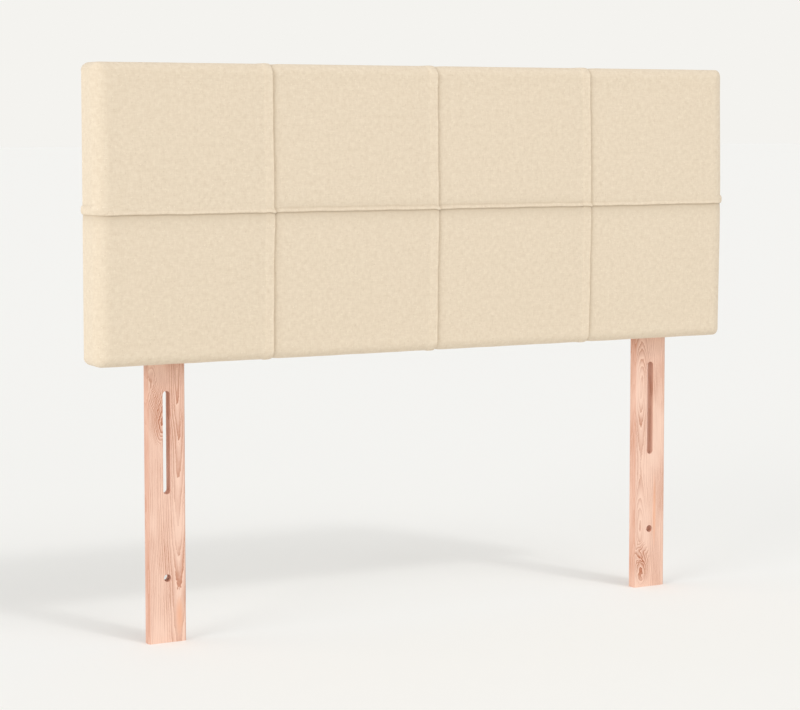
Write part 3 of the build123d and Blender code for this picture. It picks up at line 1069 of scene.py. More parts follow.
@dataclass
class PaddedCover:
    """The sewn cover, stretched over the panel: eight pieces of cloth in two rows of four.

    Flat cloth coordinates run from the panel's middle, across and up. Past the front they turn over
    the rounded edges, along the side walls, and round onto the back as a hem. The rings that the cloth
    passes on its way share one ring number, from 0 at the front's edge to 4 at the hem's own edge.

    Attributes:
        side_radius: Rounding of the upright edges of the front.
        long_radius: Rounding of the top and bottom edges of the front.
        corner_radius: Rounding of the corners of the outline.
        crown: How far the front swells at mid height.
        back_radius: Rounding where the cloth turns onto the back.
        hem_width: How far the cloth reaches over the back.
        thickness: Thickness of the cloth.
        step: Distance from one grid line to the next.
        leg_gap: Gap between the cloth and the front of a leg.
        bend_reach: Distance from a seam to which the cloth follows its wander.
        pucker_height: Height of the gathers beside the seams.
        pucker_reach: How far they reach from a seam.
        unevenness: Height of the foam's slow unevenness.
        upright_seam: The seams between the columns.
        cross_seam: The seam between the rows.
        swelling: How the foam swells the front.
        cut_steps: Steps across and up the bolt of cloth from which the pieces are cut.
        columns: Names of the columns, from the left.
        finish: What the cloth is finished in.
    """

    side_radius: float = 20 * MM
    long_radius: float = 14 * MM
    corner_radius: float = 11 * MM
    crown: float = 3 * MM
    back_radius: float = 3 * MM
    hem_width: float = 18 * MM
    thickness: float = 1.0 * MM
    step: float = 3.2 * MM
    leg_gap: float = 0.3 * MM
    bend_reach: float = 24 * MM
    pucker_height: float = 0.12 * MM
    pucker_reach: float = 8 * MM
    unevenness: float = 0.25 * MM
    upright_seam: Seam = Seam(
        lap_width=12 * MM, lap_height=1.9 * MM, roll_share=0.2, sink=2.2 * MM, crease_share=0.3,
        valley_width=20 * MM, bulk_height=0.9 * MM)
    cross_seam: Seam = Seam(
        lap_width=12 * MM, lap_height=1.5 * MM, roll_share=0.85, roll_width=5 * MM, fold_radius=1.2 * MM,
        sink=0.7 * MM, crease_share=0.1, valley_width=22 * MM, bulk_height=2.6 * MM, print_height=0.1 * MM,
        seam_shade=0.9, seam_shade_width=7 * MM)
    swelling: Swelling = field(default_factory=Swelling)
    cut_steps: tuple[float, float] = (0.37, 0.53)
    columns: tuple[str, ...] = ("far_left", "left", "right", "far_right")
    finish: Finish = FeltedLinen()

    def __post_init__(self) -> None:
        """Read the panel's outside and the seams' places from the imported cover, and swell the front."""
        low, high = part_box("cover_lower_far_right")
        self.half_width = high.x
        self.middle_z = high.z
        self.half_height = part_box("cover_upper_far_right")[1].z - self.middle_z
        self.edge_y = low.y + self.crown
        self.back_y = high.y
        self.seams = [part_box(f"cover_lower_{name}")[0].x for name in self.columns[1:]]
        self.front_a = self.half_width - self.side_radius
        self.front_b = self.half_height - self.long_radius
        self.channels = leg_channels()
        self.channel_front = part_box("left_leg")[0].y
        self.swelling.simulate(self.front_a, self.front_b, self.seams)

    def ring_lengths(self, radius: float) -> Array:
        """Work out the cloth length to each ring.

        Args:
            radius: Rounding of the front's edge.

        Returns:
            Lengths from the front's edge to ring numbers 0 to 4.
        """
        wall = self.back_y - self.edge_y - radius - self.back_radius
        turn = QUARTER_TURN * self.back_radius
        hem = self.hem_width - self.back_radius
        return np.cumsum([0, QUARTER_TURN * radius, wall, turn, hem])

    def reach(self, radius: float) -> float:
        """Cloth length from the front's edge to the hem's own edge."""
        return float(self.ring_lengths(radius)[-1])

    def ring_numbers(self, a: Array, b: Array) -> list[Array]:
        """Find the ring numbers of points, across and up.

        Args:
            a: Flat coordinates across.
            b: Flat coordinates up.

        Returns:
            Ring numbers across, and ring numbers up, each 0 on the front.
        """
        ways = ((a, self.front_a, self.side_radius), (b, self.front_b, self.long_radius))
        return [
            np.interp(np.abs(flat) - front, self.ring_lengths(radius), range(5))
            for flat, front, radius in ways
        ]

    def inset(self, ring: Array, radius: Array | float) -> Array:
        """How far inside the outline a ring lies.

        It is the radius times 1 less a sine over the rounded edge, nothing along the wall, the back radius
        times 1 less a cosine round the turn, and then the width of the hem.

        Args:
            ring: Ring numbers.
            radius: Rounding of the front's edge.

        Returns:
            Distances from the outline.
        """
        over = radius * (1 - np.sin(QUARTER_TURN * held(ring)))
        turn = self.back_radius * (1 - np.cos(QUARTER_TURN * held(ring - 2)))
        hem = (self.hem_width - self.back_radius) * held(ring - 3)
        return over + turn + hem

    def place(self, a: Array, b: Array) -> Array:
        """Where points of the cloth lie once it is stretched over the panel.

        Rings are rectangles with rounded corners. A point's ring is the greater of its ring numbers across
        and up, and its angle round a corner is their ratio times 45 degrees. The depth follows a circle over
        the rounded edge, a straight wall, a quarter circle and the flat back. The front swells by the square
        of one less the squared height share.

        Args:
            a: Flat coordinates across, from the middle.
            b: Flat coordinates up, from the middle.

        Returns:
            Points, with one more axis of x, y and z.
        """
        side, long = self.side_radius, self.long_radius
        ring_a, ring_b = self.ring_numbers(a, b)
        ring = np.maximum(ring_a, ring_b)
        over_edge = QUARTER_TURN * held(ring)
        ratio = np.minimum(ring_a, ring_b) / np.maximum(ring, TINY)
        angle = np.where(ring_a >= ring_b, ratio, 2 - ratio) * QUARTER_TURN / 2
        corner = self.corner_radius * np.sin(over_edge) - self.inset(np.maximum(ring, 1), 0)
        corner = np.maximum(corner, self.back_radius * held(ring))
        corner_x = self.half_width - self.inset(ring, side) - corner
        corner_z = self.half_height - self.inset(ring, long) - corner
        blend = 3 * self.side_radius
        front_x = np.abs(a) + (corner_x - self.front_a) * smooth_step(1 - (self.front_a - np.abs(a)) / blend)
        front_z = np.abs(b) + (corner_z - self.front_b) * smooth_step(1 - (self.front_b - np.abs(b)) / blend)
        x = np.where(ring_a > 0, corner_x + corner * np.cos(angle), front_x)
        z = np.where(ring_b > 0, corner_z + corner * np.sin(angle), front_z)
        radius = side + (long - side) * np.sin(angle) ** 2
        front = self.edge_y - self.crown * (1 - held(np.abs(z) / self.front_b) ** 2) ** 2
        over = front + radius * (1 - np.cos(over_edge))
        wall_end = self.back_y - self.back_radius
        wall = over + (wall_end - over) * held(ring - 1)
        y = np.where(ring <= 2, wall, wall_end + self.back_radius * np.sin(QUARTER_TURN * held(ring - 2)))
        return np.stack([np.sign(a) * x, y, self.middle_z + np.sign(b) * z], axis=-1)

    def normals(self, a: Array, b: Array) -> Array:
        """Outward unit normals: the cross product of the cloth's slopes across and up.

        Args:
            a: Flat coordinates across.
            b: Flat coordinates up.

        Returns:
            Normals, with one more axis of x, y and z.
        """
        nudge, least = 0.05 * MM, 1e-15
        across = self.place(a + nudge, b) - self.place(a - nudge, b)
        up = self.place(a, b + nudge) - self.place(a, b - nudge)
        normal = np.cross(across, up)
        return normal / np.maximum(np.linalg.norm(normal, axis=-1, keepdims=True), least)

    def seam_bend(self, number: int, b: Array) -> Array:
        """Sideways wander of an upright seam: slow waves, and a step where it passes under the cross seam.

        Args:
            number: Number of the seam, from 0 at the left.
            b: Flat coordinates up.

        Returns:
            How far the seam stands to the right of its line.
        """
        waviness, pushed, eased = 0.55 * MM, 2.3 * MM, 1.1 * MM
        push_end, push_ease, eased_length = 9 * MM, 7.5 * MM, 70 * MM
        waves = slow_waves(b, (0.19, 0.083, 0.037), seed=11 + number) * waviness
        above = pushed * smooth_step((push_end - b) / push_ease) * (b >= 0)
        below = eased * smooth_step(1 + b / eased_length) * (b < 0)
        return waves + above + below

    def cross_bend(self, a: Array) -> Array:
        """Wander of the cross seam: slow waves, and a dip over the allowances of each upright seam.

        Args:
            a: Flat coordinates across.

        Returns:
            How far the seam stands above its line.
        """
        waviness, rise, dip, reach = 0.5 * MM, 0.3 * MM, 0.8 * MM, 4 * MM
        rise_before, dip_before = 9 * MM, 1 * MM
        waves = slow_waves(a, (0.31, 0.12, 0.055), seed=5) * waviness
        past = [a - seam for seam in self.seams]
        return waves + sum(
            rise * hump(p + rise_before, reach) - dip * hump(p + dip_before, reach) for p in past)

    def groove(self, a: Array, b: Array) -> Array:
        """Height of the soft groove above the cross seam, where the upper cloth is pulled in at mid width.

        It is a narrow bell curve and a wide one, by the share of the full depth that each column has.

        Args:
            a: Flat coordinates across.
            b: Flat coordinates up.

        Returns:
            Heights, below zero.
        """
        left, _, right = self.seams
        aside = 20 * MM
        places = [-self.half_width, left - aside, left + aside, right - aside, right + aside, self.half_width]
        share = np.interp(a, places, [0.0, 0.15, 1.0, 1.0, 0.4, 0.2])
        narrow, narrow_at, narrow_reach = 0.7 * MM, 5.2 * MM, 1.6 * MM
        wide, wide_at, wide_reach = 0.5 * MM, 8 * MM, 5 * MM
        return -share * (narrow * hump(b - narrow_at, narrow_reach) + wide * hump(b - wide_at, wide_reach))

    def seam_shade(self, a: Array, b: Array) -> Array:
        """Painted shade from the seam to its left or above it, e to minus the distance, and in the groove
        above the cross seam.

        Args:
            a: Flat coordinates across.
            b: Flat coordinates up.

        Returns:
            Shares from 0 to 1.
        """
        # Painted shade: below the cross seam, right of each upright seam, and in the groove above the cross
        # seam.
        level, upright, groove_shade_share = self.cross_seam, self.upright_seam, 0.35
        under = level.seam_shade * np.exp(b / level.seam_shade_width) * (b <= 0)
        beside = sum(np.exp(-np.abs(a - seam) / upright.seam_shade_width) * (a >= seam) for seam in self.seams)
        groove = groove_shade_share * held(-self.groove(a, b) / MM) * (b > 0)
        return held(np.max([under, upright.seam_shade * beside, groove], axis=0))

    def puckers(self, a: Array, b: Array) -> Array:
        """Height of the small gathers beside the seams: quick uneven waves along each, fading away from it.

        Args:
            a: Flat coordinates across.
            b: Flat coordinates up.

        Returns:
            The heights.
        """
        beside = sum(hump(a - seam, self.pucker_reach) for seam in self.seams)
        upright = beside * slow_waves(b, (0.013, 0.021, 0.0083), seed=21)
        level = hump(b, self.pucker_reach) * slow_waves(a, (0.012, 0.019, 0.0077), seed=22)
        return (upright + level) * self.pucker_height

    def edge_lines(self, edge: Edge, line: float, seam: Seam, sign: float) -> tuple[Array, Array]:
        """Grid lines that a sewn edge needs, and how high the cloth stands on them.

        Args:
            edge: What the edge ends in, a lap or a valley.
            line: Flat coordinate of the seam.
            seam: The kind of seam.
            sign: 1 where the cloth lies past the seam, and -1 where it lies before it.

        Returns:
            Flat coordinates in rising order, and a pair of heights for each: on the front and over an edge.
        """
        away, height, over = seam.lap() if edge is Edge.LAP else seam.valley()
        place = line + sign * np.abs(away)
        order = slice(None) if (sign > 0) == (edge is Edge.VALLEY) else slice(None, None, -1)
        return place[order], np.stack([height, over])[:, order]

    def hem_lines(self, radius: float) -> Array:
        """Grid lines past the front's edge, closer where the cloth turns, with one at the legs' notches.

        Args:
            radius: Rounding of the front's edge.

        Returns:
            Cloth lengths from the front's edge.
        """
        edge, over, wall, turn, hem = self.ring_lengths(radius)
        notch = self.notch_reach()
        runs = ((edge, over, 13), (over, notch, 7), (notch, wall, 6), (wall, turn, 6), (turn, hem, 6))
        return np.unique(np.round(np.concatenate([np.linspace(*run) for run in runs]), 7))

    def notch_reach(self) -> float:
        """Cloth length from the front's lower edge to the front of the legs' notches, under the panel."""
        wall_start = self.edge_y + self.long_radius
        return float(self.ring_lengths(self.long_radius)[1]) + self.channel_front - self.leg_gap - wall_start

    def lines(self, low: tuple[Edge, float], high: tuple[Edge, float], seam: Seam, front: float,
              radius: float, extra: Sequence[float] = ()) -> tuple[Array, Array]:
        """All grid lines of a piece of cloth in one direction.

        Args:
            low: What its lower edge ends in, and that seam's place.
            high: What its upper edge ends in, and that seam's place.
            seam: The kind of seam at its sewn edges.
            front: Half the size of the front in this direction.
            radius: Rounding of the front's edges in this direction.
            extra: Places that need a grid line of their own.

        Returns:
            Flat coordinates in rising order, and a pair of heights for each: on the front and over an edge.
        """
        hem = front + self.hem_lines(radius)
        flat = np.zeros((2, len(hem)))
        first, first_height = (-hem[::-1], flat) if low[0] is Edge.HEM else self.edge_lines(*low, seam, 1.0)
        last, last_height = (hem, flat) if high[0] is Edge.HEM else self.edge_lines(*high, seam, -1.0)
        middle = stations(first[-1], last[0], self.step)[1:-1]
        for place in extra:
            if first[-1] < place < last[0]:
                middle[np.argmin(np.abs(middle - place))] = place
        places = np.concatenate([first, middle, last])
        return places, np.concatenate([first_height, np.zeros((2, len(middle))), last_height], axis=1)

    def stand_off(self, a: Array, b: Array, height_a: Array, height_b: Array) -> Array:
        """How far the cloth stands off the padded shape, along its normals.

        It is the laps and valleys, which are pressed flat on the back, plus the loose unevenness of the
        front, plus half a thickness where the hem is folded over itself at a corner.

        Args:
            a: Flat coordinates across.
            b: Flat coordinates up.
            height_a: Pair of heights for each grid line across: on the front and over an edge.
            height_b: The same for each grid line up.

        Returns:
            The heights.
        """
        ring_a, ring_b = self.ring_numbers(a, b)
        ring = np.maximum(ring_a, ring_b)
        turn_share, pressing, fold_from = 0.6, 0.85, 2.3
        over_side, over_long = smooth_step(ring_a / turn_share), smooth_step(ring_b / turn_share)
        upright = height_a[0][None, :] * (1 - over_long) + height_a[1][None, :] * over_long
        level = height_b[0][:, None] * (1 - over_side) + height_b[1][:, None] * over_side
        pressed = 1 - pressing * smooth_step(ring - 2)
        foam = slow_waves(a, (0.093, 0.051), seed=3) * slow_waves(b, (0.081, 0.047), seed=4) * self.unevenness
        loose = foam + self.swelling.at(a, b) + self.puckers(a, b) + self.groove(a, b)
        folded = (ring > fold_from) & (ring_a >= ring_b) & (ring_b > 0)
        return (upright + level) * pressed + loose * (1 - smooth_step(ring - 1)) + folded * self.thickness / 2

    def cloth(self, row: str, column: int) -> Surface:
        """Work out one piece of the cover.

        Its grid follows the wandering seams near them, and stands off the padded shape along its normals.

        Args:
            row: The piece's row, upper or lower.
            column: The piece's column, from 0 at the left.

        Returns:
            The cloth's outer face.
        """
        upper, hem = row == "upper", (Edge.HEM, 0.0)
        left = (Edge.VALLEY, self.seams[column - 1]) if column > 0 else hem
        right = (Edge.LAP, self.seams[column]) if column < len(self.seams) else hem
        bottom, top = ((Edge.LAP, 0.0), hem) if upper else (hem, (Edge.VALLEY, 0.0))
        line_a, height_a = self.lines(
            left, right, self.upright_seam, self.front_a, self.side_radius, np.ravel(self.channels))
        line_b, height_b = self.lines(bottom, top, self.cross_seam, self.front_b, self.long_radius)
        a, b = np.meshgrid(line_a, line_b)
        bends = (self.seam_bend(n, b) * hump(a - seam, self.bend_reach) for n, seam in enumerate(self.seams))
        bent_a, bent_b = a + sum(bends), b + self.cross_bend(a) * hump(b, self.bend_reach)
        height = self.stand_off(a, b, height_a, height_b)
        points = self.place(bent_a, bent_b) + self.normals(bent_a, bent_b) * height[..., None]
        notch_top = -self.front_b - self.notch_reach()
        keep = None if upper else notched(line_a, line_b, self.channels, notch_top)
        cut_from = np.array(self.cut_steps) * (column, upper)
        sheet = Surface.from_grid(points, flat=np.stack([a, b], axis=-1) + cut_from, keep=keep)
        # Painted shade beside the seams, kept on the cloth for its material.
        beside = np.where(a == line_a[-1], -np.inf, a) if right[0] is Edge.LAP else a
        sheet.seam_shade = self.seam_shade(beside, np.maximum(b, TINY) if upper else b).ravel()
        return sheet

    def build(self) -> None:
        for row in ("upper", "lower"):
            for column, name in enumerate(self.columns):
                piece = self.cloth(row, column).to_object(f"cloth_{row}_{name}")
                add_modifier(piece, "SOLIDIFY", thickness=self.thickness, offset=-1.0)
                self.finish.dress(piece)
                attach(piece, PANEL)
                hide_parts(f"cover_{row}_{name}")


@dataclass(frozen=True)
class Lamp:
    """A distant lamp.

    Attributes:
        name: Name of the lamp.
        toward: Direction from the object to the lamp.
        strength: How brightly it lights a white surface that faces it, where 1 is white.
        spread: Width of the lamp as seen from the object, in degrees.
    """

    name: str
    toward: tuple[float, float, float]
    strength: float
    spread: float

    def hang(self) -> None:
        """Add the lamp to the scene, turned to the object."""
        light = bpy.data.lights.new(self.name, "SUN")
        light.energy = self.strength * math.pi
        light.angle = math.radians(self.spread)
        lamp = bpy.data.objects.new(self.name, light)
        x, y, z = self.toward
        lamp.rotation_euler = (math.atan2(math.hypot(x, y), z), 0, math.atan2(x, -y))
        bpy.context.scene.collection.objects.link(lamp)


@dataclass
class Studio:
    """A plain pale floor under soft light, with the camera at the photograph's angle.

    Attributes:
        backdrop: Colour that the camera sees behind the object.
        floor: Colour of the floor, which the lamps bring up to the backdrop's.
        ambient: Strength of the even light from all round.
        floor_half: Half the width of the floor.
        lamps: The lamps.
        camera_place: Where the camera stands.
        camera_pitch: How far it looks up, in degrees.
        camera_turn: How far it is turned to the left from straight ahead, in degrees.
        lens: Its focal length in millimetres.
        shift: How far its picture is shifted up, as a share of the width.
        sight: How far it sees.
    """

    backdrop: Colour = linear(244.2, 243, 239.2)
    floor: Colour = linear(247.5, 247, 244)
    ambient: float = 0.673
    floor_half: float = 60.0
    lamps: tuple[Lamp, ...] = (
        Lamp("key", (0.25, -0.627, 0.738), 0.10, 7),
        Lamp("key_glow", (0.25, -0.627, 0.738), 0.12, 32),
        Lamp("front", (0.10, -0.99, 0.10), 0.06, 40),
        Lamp("left_front", (-0.90, -0.33, 0.27), 0.345, 36),
        Lamp("left_back", (-0.90, 0.40, 0.22), 0.15, 36),
    )
    camera_place: tuple[float, float, float] = (-1.4872, -2.7372, 0.6997)
    camera_pitch: float = -3.929
    camera_turn: float = -27.856
    lens: float = 99.28
    shift: float = -0.10
    sight: float = 200.0

    def light_air(self) -> None:
        """Even light from all round; the camera, gloss and glass see the backdrop's colour instead."""
        world = bpy.data.worlds.new("studio_air")
        world.use_nodes = True
        bpy.context.scene.world = world
        tree = ShaderTree(world.node_tree)
        path = tree.node("ShaderNodeLightPath")
        seen = (path["Is Camera Ray"] + path["Is Glossy Ray"] + path["Is Transmission Ray"]).held()
        shown = tree.node("ShaderNodeBackground", None, {"Color": self.backdrop, "Strength": 1.0})
        light = tree.node("ShaderNodeBackground", None, {"Color": (1, 1, 1, 1), "Strength": self.ambient})
        mixed = tree.node("ShaderNodeMixShader", None, {0: seen, 1: light[0], 2: shown[0]})
        tree.node("ShaderNodeOutputWorld", None, {0: mixed[0]})

    def lay_floor(self) -> None:
        """A wide flat floor that takes the object's shadow."""
        line = np.array([-self.floor_half, self.floor_half])
        x, y = np.meshgrid(line, line)
        floor = Surface.from_grid(np.stack([x, y, np.zeros(x.shape)], axis=-1)).to_object("studio_floor")
        PlainFloor(self.floor).dress(floor)

    def set_camera(self) -> None:
        """Put the camera in its place and look through it."""
        data = bpy.data.cameras.new("camera")
        data.lens = self.lens
        data.shift_y = self.shift
        data.clip_end = self.sight
        camera = bpy.data.objects.new("camera", data)
        camera.location = self.camera_place
        camera.rotation_euler = (math.radians(90 + self.camera_pitch), 0, math.radians(self.camera_turn))
        bpy.context.scene.collection.objects.link(camera)
        bpy.context.scene.camera = camera

    def build(self) -> None:
        """Set the air, the floor, the lamps and the camera."""
        self.light_air()
        self.lay_floor()
        for lamp in self.lamps:
            lamp.hang()
        self.set_camera()
        bpy.context.scene.view_settings.view_transform = "Standard"
        log.info("studio: %d lamps, floor and camera", len(self.lamps))


@dataclass
class FoamPad:
    """The foam under the cover: a flat pad on the front board, its front edges rounded by the taut cloth.

    Attributes:
        cover: The cover that lies over it.
        step: Distance from one grid line to the next.
        turn_steps: Number of grid lines over a rounded edge.
        clearance: Gap between the pad and the cloth.
        seam_dip: How much deeper it lies at a seam.
        dip_reach: How far from the seam the dip reaches.
        weld: Distance within which its rim's points are joined.
        fill: How full the pad is, where 1 is tight.
        finish: What it is finished in.
    """

    cover: PaddedCover
    step: float = 8 * MM
    turn_steps: int = 9
    clearance: float = 0.5 * MM
    seam_dip: float = 1.9 * MM
    dip_reach: float = 6 * MM
    weld: float = 0.05 * MM
    fill: float = 0.9
    finish: Finish = OpenFoam()

    def lines(self, front: float, radius: float, back: float) -> Array:
        """Grid lines across the pad: even over its front, closer over its rounded edges.

        Args:
            front: Half the size of the front between the rounded edges.
            radius: Rounding of the edges.
            back: Y of the pad's back.

        Returns:
            Flat coordinates, up to where the rounding meets the back.
        """
        turned = math.acos(1 - (back - self.cover.edge_y) / radius)
        past = np.linspace(0, radius * turned, self.turn_steps)[1:]
        return np.concatenate([-front - past[::-1], stations(-front, front, self.step), front + past])

    def surface(self) -> Surface:
        """Work out the pad: its front is the cover's own shape, moved in, and its back is flat.

        Returns:
            The front and the back, whose rims lie on each other.
        """
        cover = self.cover
        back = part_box("foam_pad")[1].y
        line_a = self.lines(cover.front_a, cover.side_radius, back)
        line_b = self.lines(cover.front_b, cover.long_radius, back)
        a, b = np.meshgrid(line_a, line_b)
        dips = hump(b, self.dip_reach) + sum(hump(a - seam, self.dip_reach) for seam in cover.seams)
        inward = cover.thickness + self.clearance + self.seam_dip * dips - cover.swelling.at(a, b)
        points = cover.place(a, b) - cover.normals(a, b) * inward[..., None]
        points[..., 1] = np.minimum(points[..., 1], back)
        behind = points.copy()
        behind[..., 1] = back
        return Surface.from_grid(points).joined(Surface.from_grid(behind, flip=True))

    def build(self) -> None:
        pad = self.surface().to_object("foam_pad_soft")
        add_modifier(pad, "WELD", merge_threshold=self.weld)
        self.finish.dress(pad)
        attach(pad, PANEL)
        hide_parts("foam_pad")
        log.info("foam pad: %d points", len(pad.data.vertices))


@dataclass
class BackLining:
    """The thin lining that closes the back, turned in all round and stapled, and cut away along the legs.

    Attributes:
        thickness: Thickness of the lining.
        frame_lift: How far its outer face stands off the frame.
        turn_in: Width of the folded rim.
        hem_lift: How much higher it stands where it covers the cover's hem.
        hem_overlap: How far it overlaps the hem.
        gather: Height of the gathers between the staples.
        slack: Height of the slow waves inside.
        staple_inset: Distance of the staples from the lining's edge.
        staple_pitch: Distance from one staple to the next.
        end_gap: Gap between the top of a leg and the top of its notch.
        step: Distance from one grid line to the next.
        fine_steps: Distances from an edge to the closer grid lines beside it, in millimetres.
        least_step: Distance below which two grid lines become one.
        finish: What the lining is finished in.
        staple_finish: What the staples are finished in.
    """

    thickness: float = 0.5 * MM
    frame_lift: float = 0.6 * MM
    turn_in: float = 10 * MM
    hem_lift: float = 1.1 * MM
    hem_overlap: float = 4 * MM
    gather: float = 0.22 * MM
    slack: float = 0.35 * MM
    staple_inset: float = 6.5 * MM
    staple_pitch: float = 46 * MM
    end_gap: float = 12 * MM
    step: float = 4.5 * MM
    fine_steps: tuple[float, ...] = (1.0, 2.0, 3.5, 5.0, 6.5, 8.0, 9.5, 10.7, 12.0)
    least_step: float = 0.4 * MM
    finish: Finish = SpunLining()
    staple_finish: Finish = ZincPlate("staple_zinc")

    def __post_init__(self) -> None:
        """Read the lining's outline and the legs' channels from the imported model."""
        self.low, self.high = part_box("back_cloth")
        self.frame_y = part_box("top_rail")[1].y
        self.channel_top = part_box("left_leg")[1].z + self.end_gap
        self.channels = leg_channels()

    def notch_distance(self, x: Array, z: Array) -> Array:
        """Distance from the nearest leg's notch.

        Args:
            x: Places across.
            z: Places up.

        Returns:
            The distances.
        """
        over = np.maximum(z - self.channel_top, 0)
        aside = [np.maximum(np.maximum(left - x, x - right), 0) for left, right in self.channels]
        return np.hypot(np.minimum(*aside), over)

    def surface_y(self, x: Array, z: Array) -> Array:
        """Y of the lining's outer face.

        It lies on the frame, and stands higher over the hem and where its rim is folded under. Staples
        press it down along the rim, and between them it gathers in waves that fade inward.

        Args:
            x: Places across.
            z: Places up.

        Returns:
            Y of each place.
        """
        hem_ease, fold_ease, gather_fade = 3 * MM, 1.5 * MM, 22 * MM
        slack_from, slack_ease = 20 * MM, 40 * MM
        from_side = np.minimum(x - self.low.x, self.high.x - x)
        rim = np.minimum(from_side, np.minimum(z - self.low.z, self.high.z - z))
        edge = np.minimum(rim, self.notch_distance(x, z))
        over_hem = self.hem_lift * (1 - smooth_step((rim - self.hem_overlap) / hem_ease))
        folded = self.thickness * (1 - smooth_step((edge - self.turn_in) / fold_ease))
        along = np.where(from_side < rim + TOUCH, z - self.low.z, x - self.low.x)
        gathers = np.cos(FULL_TURN * along / self.staple_pitch) * np.exp(-edge / gather_fade)
        waves = slow_waves(x * 3 + z, (0.11, 0.067), seed=31) * slow_waves(z * 2 - x, (0.13, 0.071), seed=32)
        loose = waves * smooth_step((edge - slack_from) / slack_ease)
        return self.frame_y + self.frame_lift + over_hem + folded + self.gather * gathers + self.slack * loose

    def grid_lines(self, low: float, high: float, marks: Sequence[float]) -> Array:
        """Grid lines in one direction, with one on each mark and more beside the marks and the ends.

        Args:
            low: Lower end of the lining.
            high: Upper end of the lining.
            marks: Places of the notches' edges.

        Returns:
            Places in rising order.
        """
        decimals = 6
        exact = np.array([low, high, *marks])
        near = np.array(self.fine_steps) * MM
        beside = [exact, np.add.outer(exact, near).ravel(), np.subtract.outer(exact, near).ravel()]
        lines = np.unique(np.round(np.concatenate([stations(low, high, self.step), *beside]), decimals))
        lines = lines[(lines >= low - TINY) & (lines <= high + TINY)]
        far = np.diff(lines) > self.least_step
        marked = np.isin(lines, np.round(exact, decimals))
        kept = np.concatenate([[True], far])
        kept[:-1] &= ~(marked[1:] & ~far)
        return lines[kept | marked]

    def surface(self) -> Surface:
        """Work out the lining: a grid over the back with the legs' notches left open.

        Returns:
            Its outer face.
        """
        line_x = self.grid_lines(self.low.x, self.high.x, np.ravel(self.channels))
        line_z = self.grid_lines(self.low.z, self.high.z, [self.channel_top])
        x, z = np.meshgrid(line_x, line_z)
        keep = notched(line_x, line_z, self.channels, self.channel_top)
        points = np.stack([x, self.surface_y(x, z), z], axis=-1)
        return Surface.from_grid(points, flat=np.stack([x, z], axis=-1), keep=keep, flip=True)

    def staple_places(self) -> Array:
        """Place the staples along the rim and both sides and the top of each notch, a little unevenly.

        Returns:
            Rows of x, z and angle.
        """
        inset = self.staple_inset
        across, up = (np.arange(low + self.staple_pitch / 2, high - inset, self.staple_pitch)
                      for low, high in ((self.low.x, self.high.x), (self.low.z, self.high.z)))
        beside_notch = up[up < self.channel_top]
        runs = []
        for z in (self.low.z + inset, self.high.z - inset):
            in_notch = [(across > left - inset) & (across < right + inset) for left, right in self.channels]
            open_x = np.any(in_notch, axis=0) & (z < self.channel_top)
            runs.append((across[~open_x], z, 0.0))
        for x in (self.low.x + inset, self.high.x - inset):
            runs.append((x, up, QUARTER_TURN))
        for left, right in self.channels:
            for x in (left - inset, right + inset):
                runs.append((x, beside_notch, QUARTER_TURN))
            runs.append(((left + right) / 2, self.channel_top + inset, 0.0))
        places = np.concatenate([np.column_stack(np.broadcast_arrays(*run)) for run in runs])
        random = np.random.default_rng(8)
        stray, twist = 0.6 * MM, 0.07
        places[:, :2] += random.normal(0, stray, (len(places), 2))
        places[:, 2] += random.normal(0, twist, len(places))
        return places

    def build(self) -> None:
        lining = self.surface().to_object("lining")
        add_modifier(lining, "SOLIDIFY", thickness=self.thickness, offset=-1.0)
        self.finish.dress(lining)
        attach(lining, PANEL)
        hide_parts("back_cloth")
        places = self.staple_places()
        depth = self.surface_y(places[:, 0], places[:, 1])
        staples = Staple().many(places, depth).to_object("staples")
        self.staple_finish.dress(staples)
        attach(staples, PANEL)


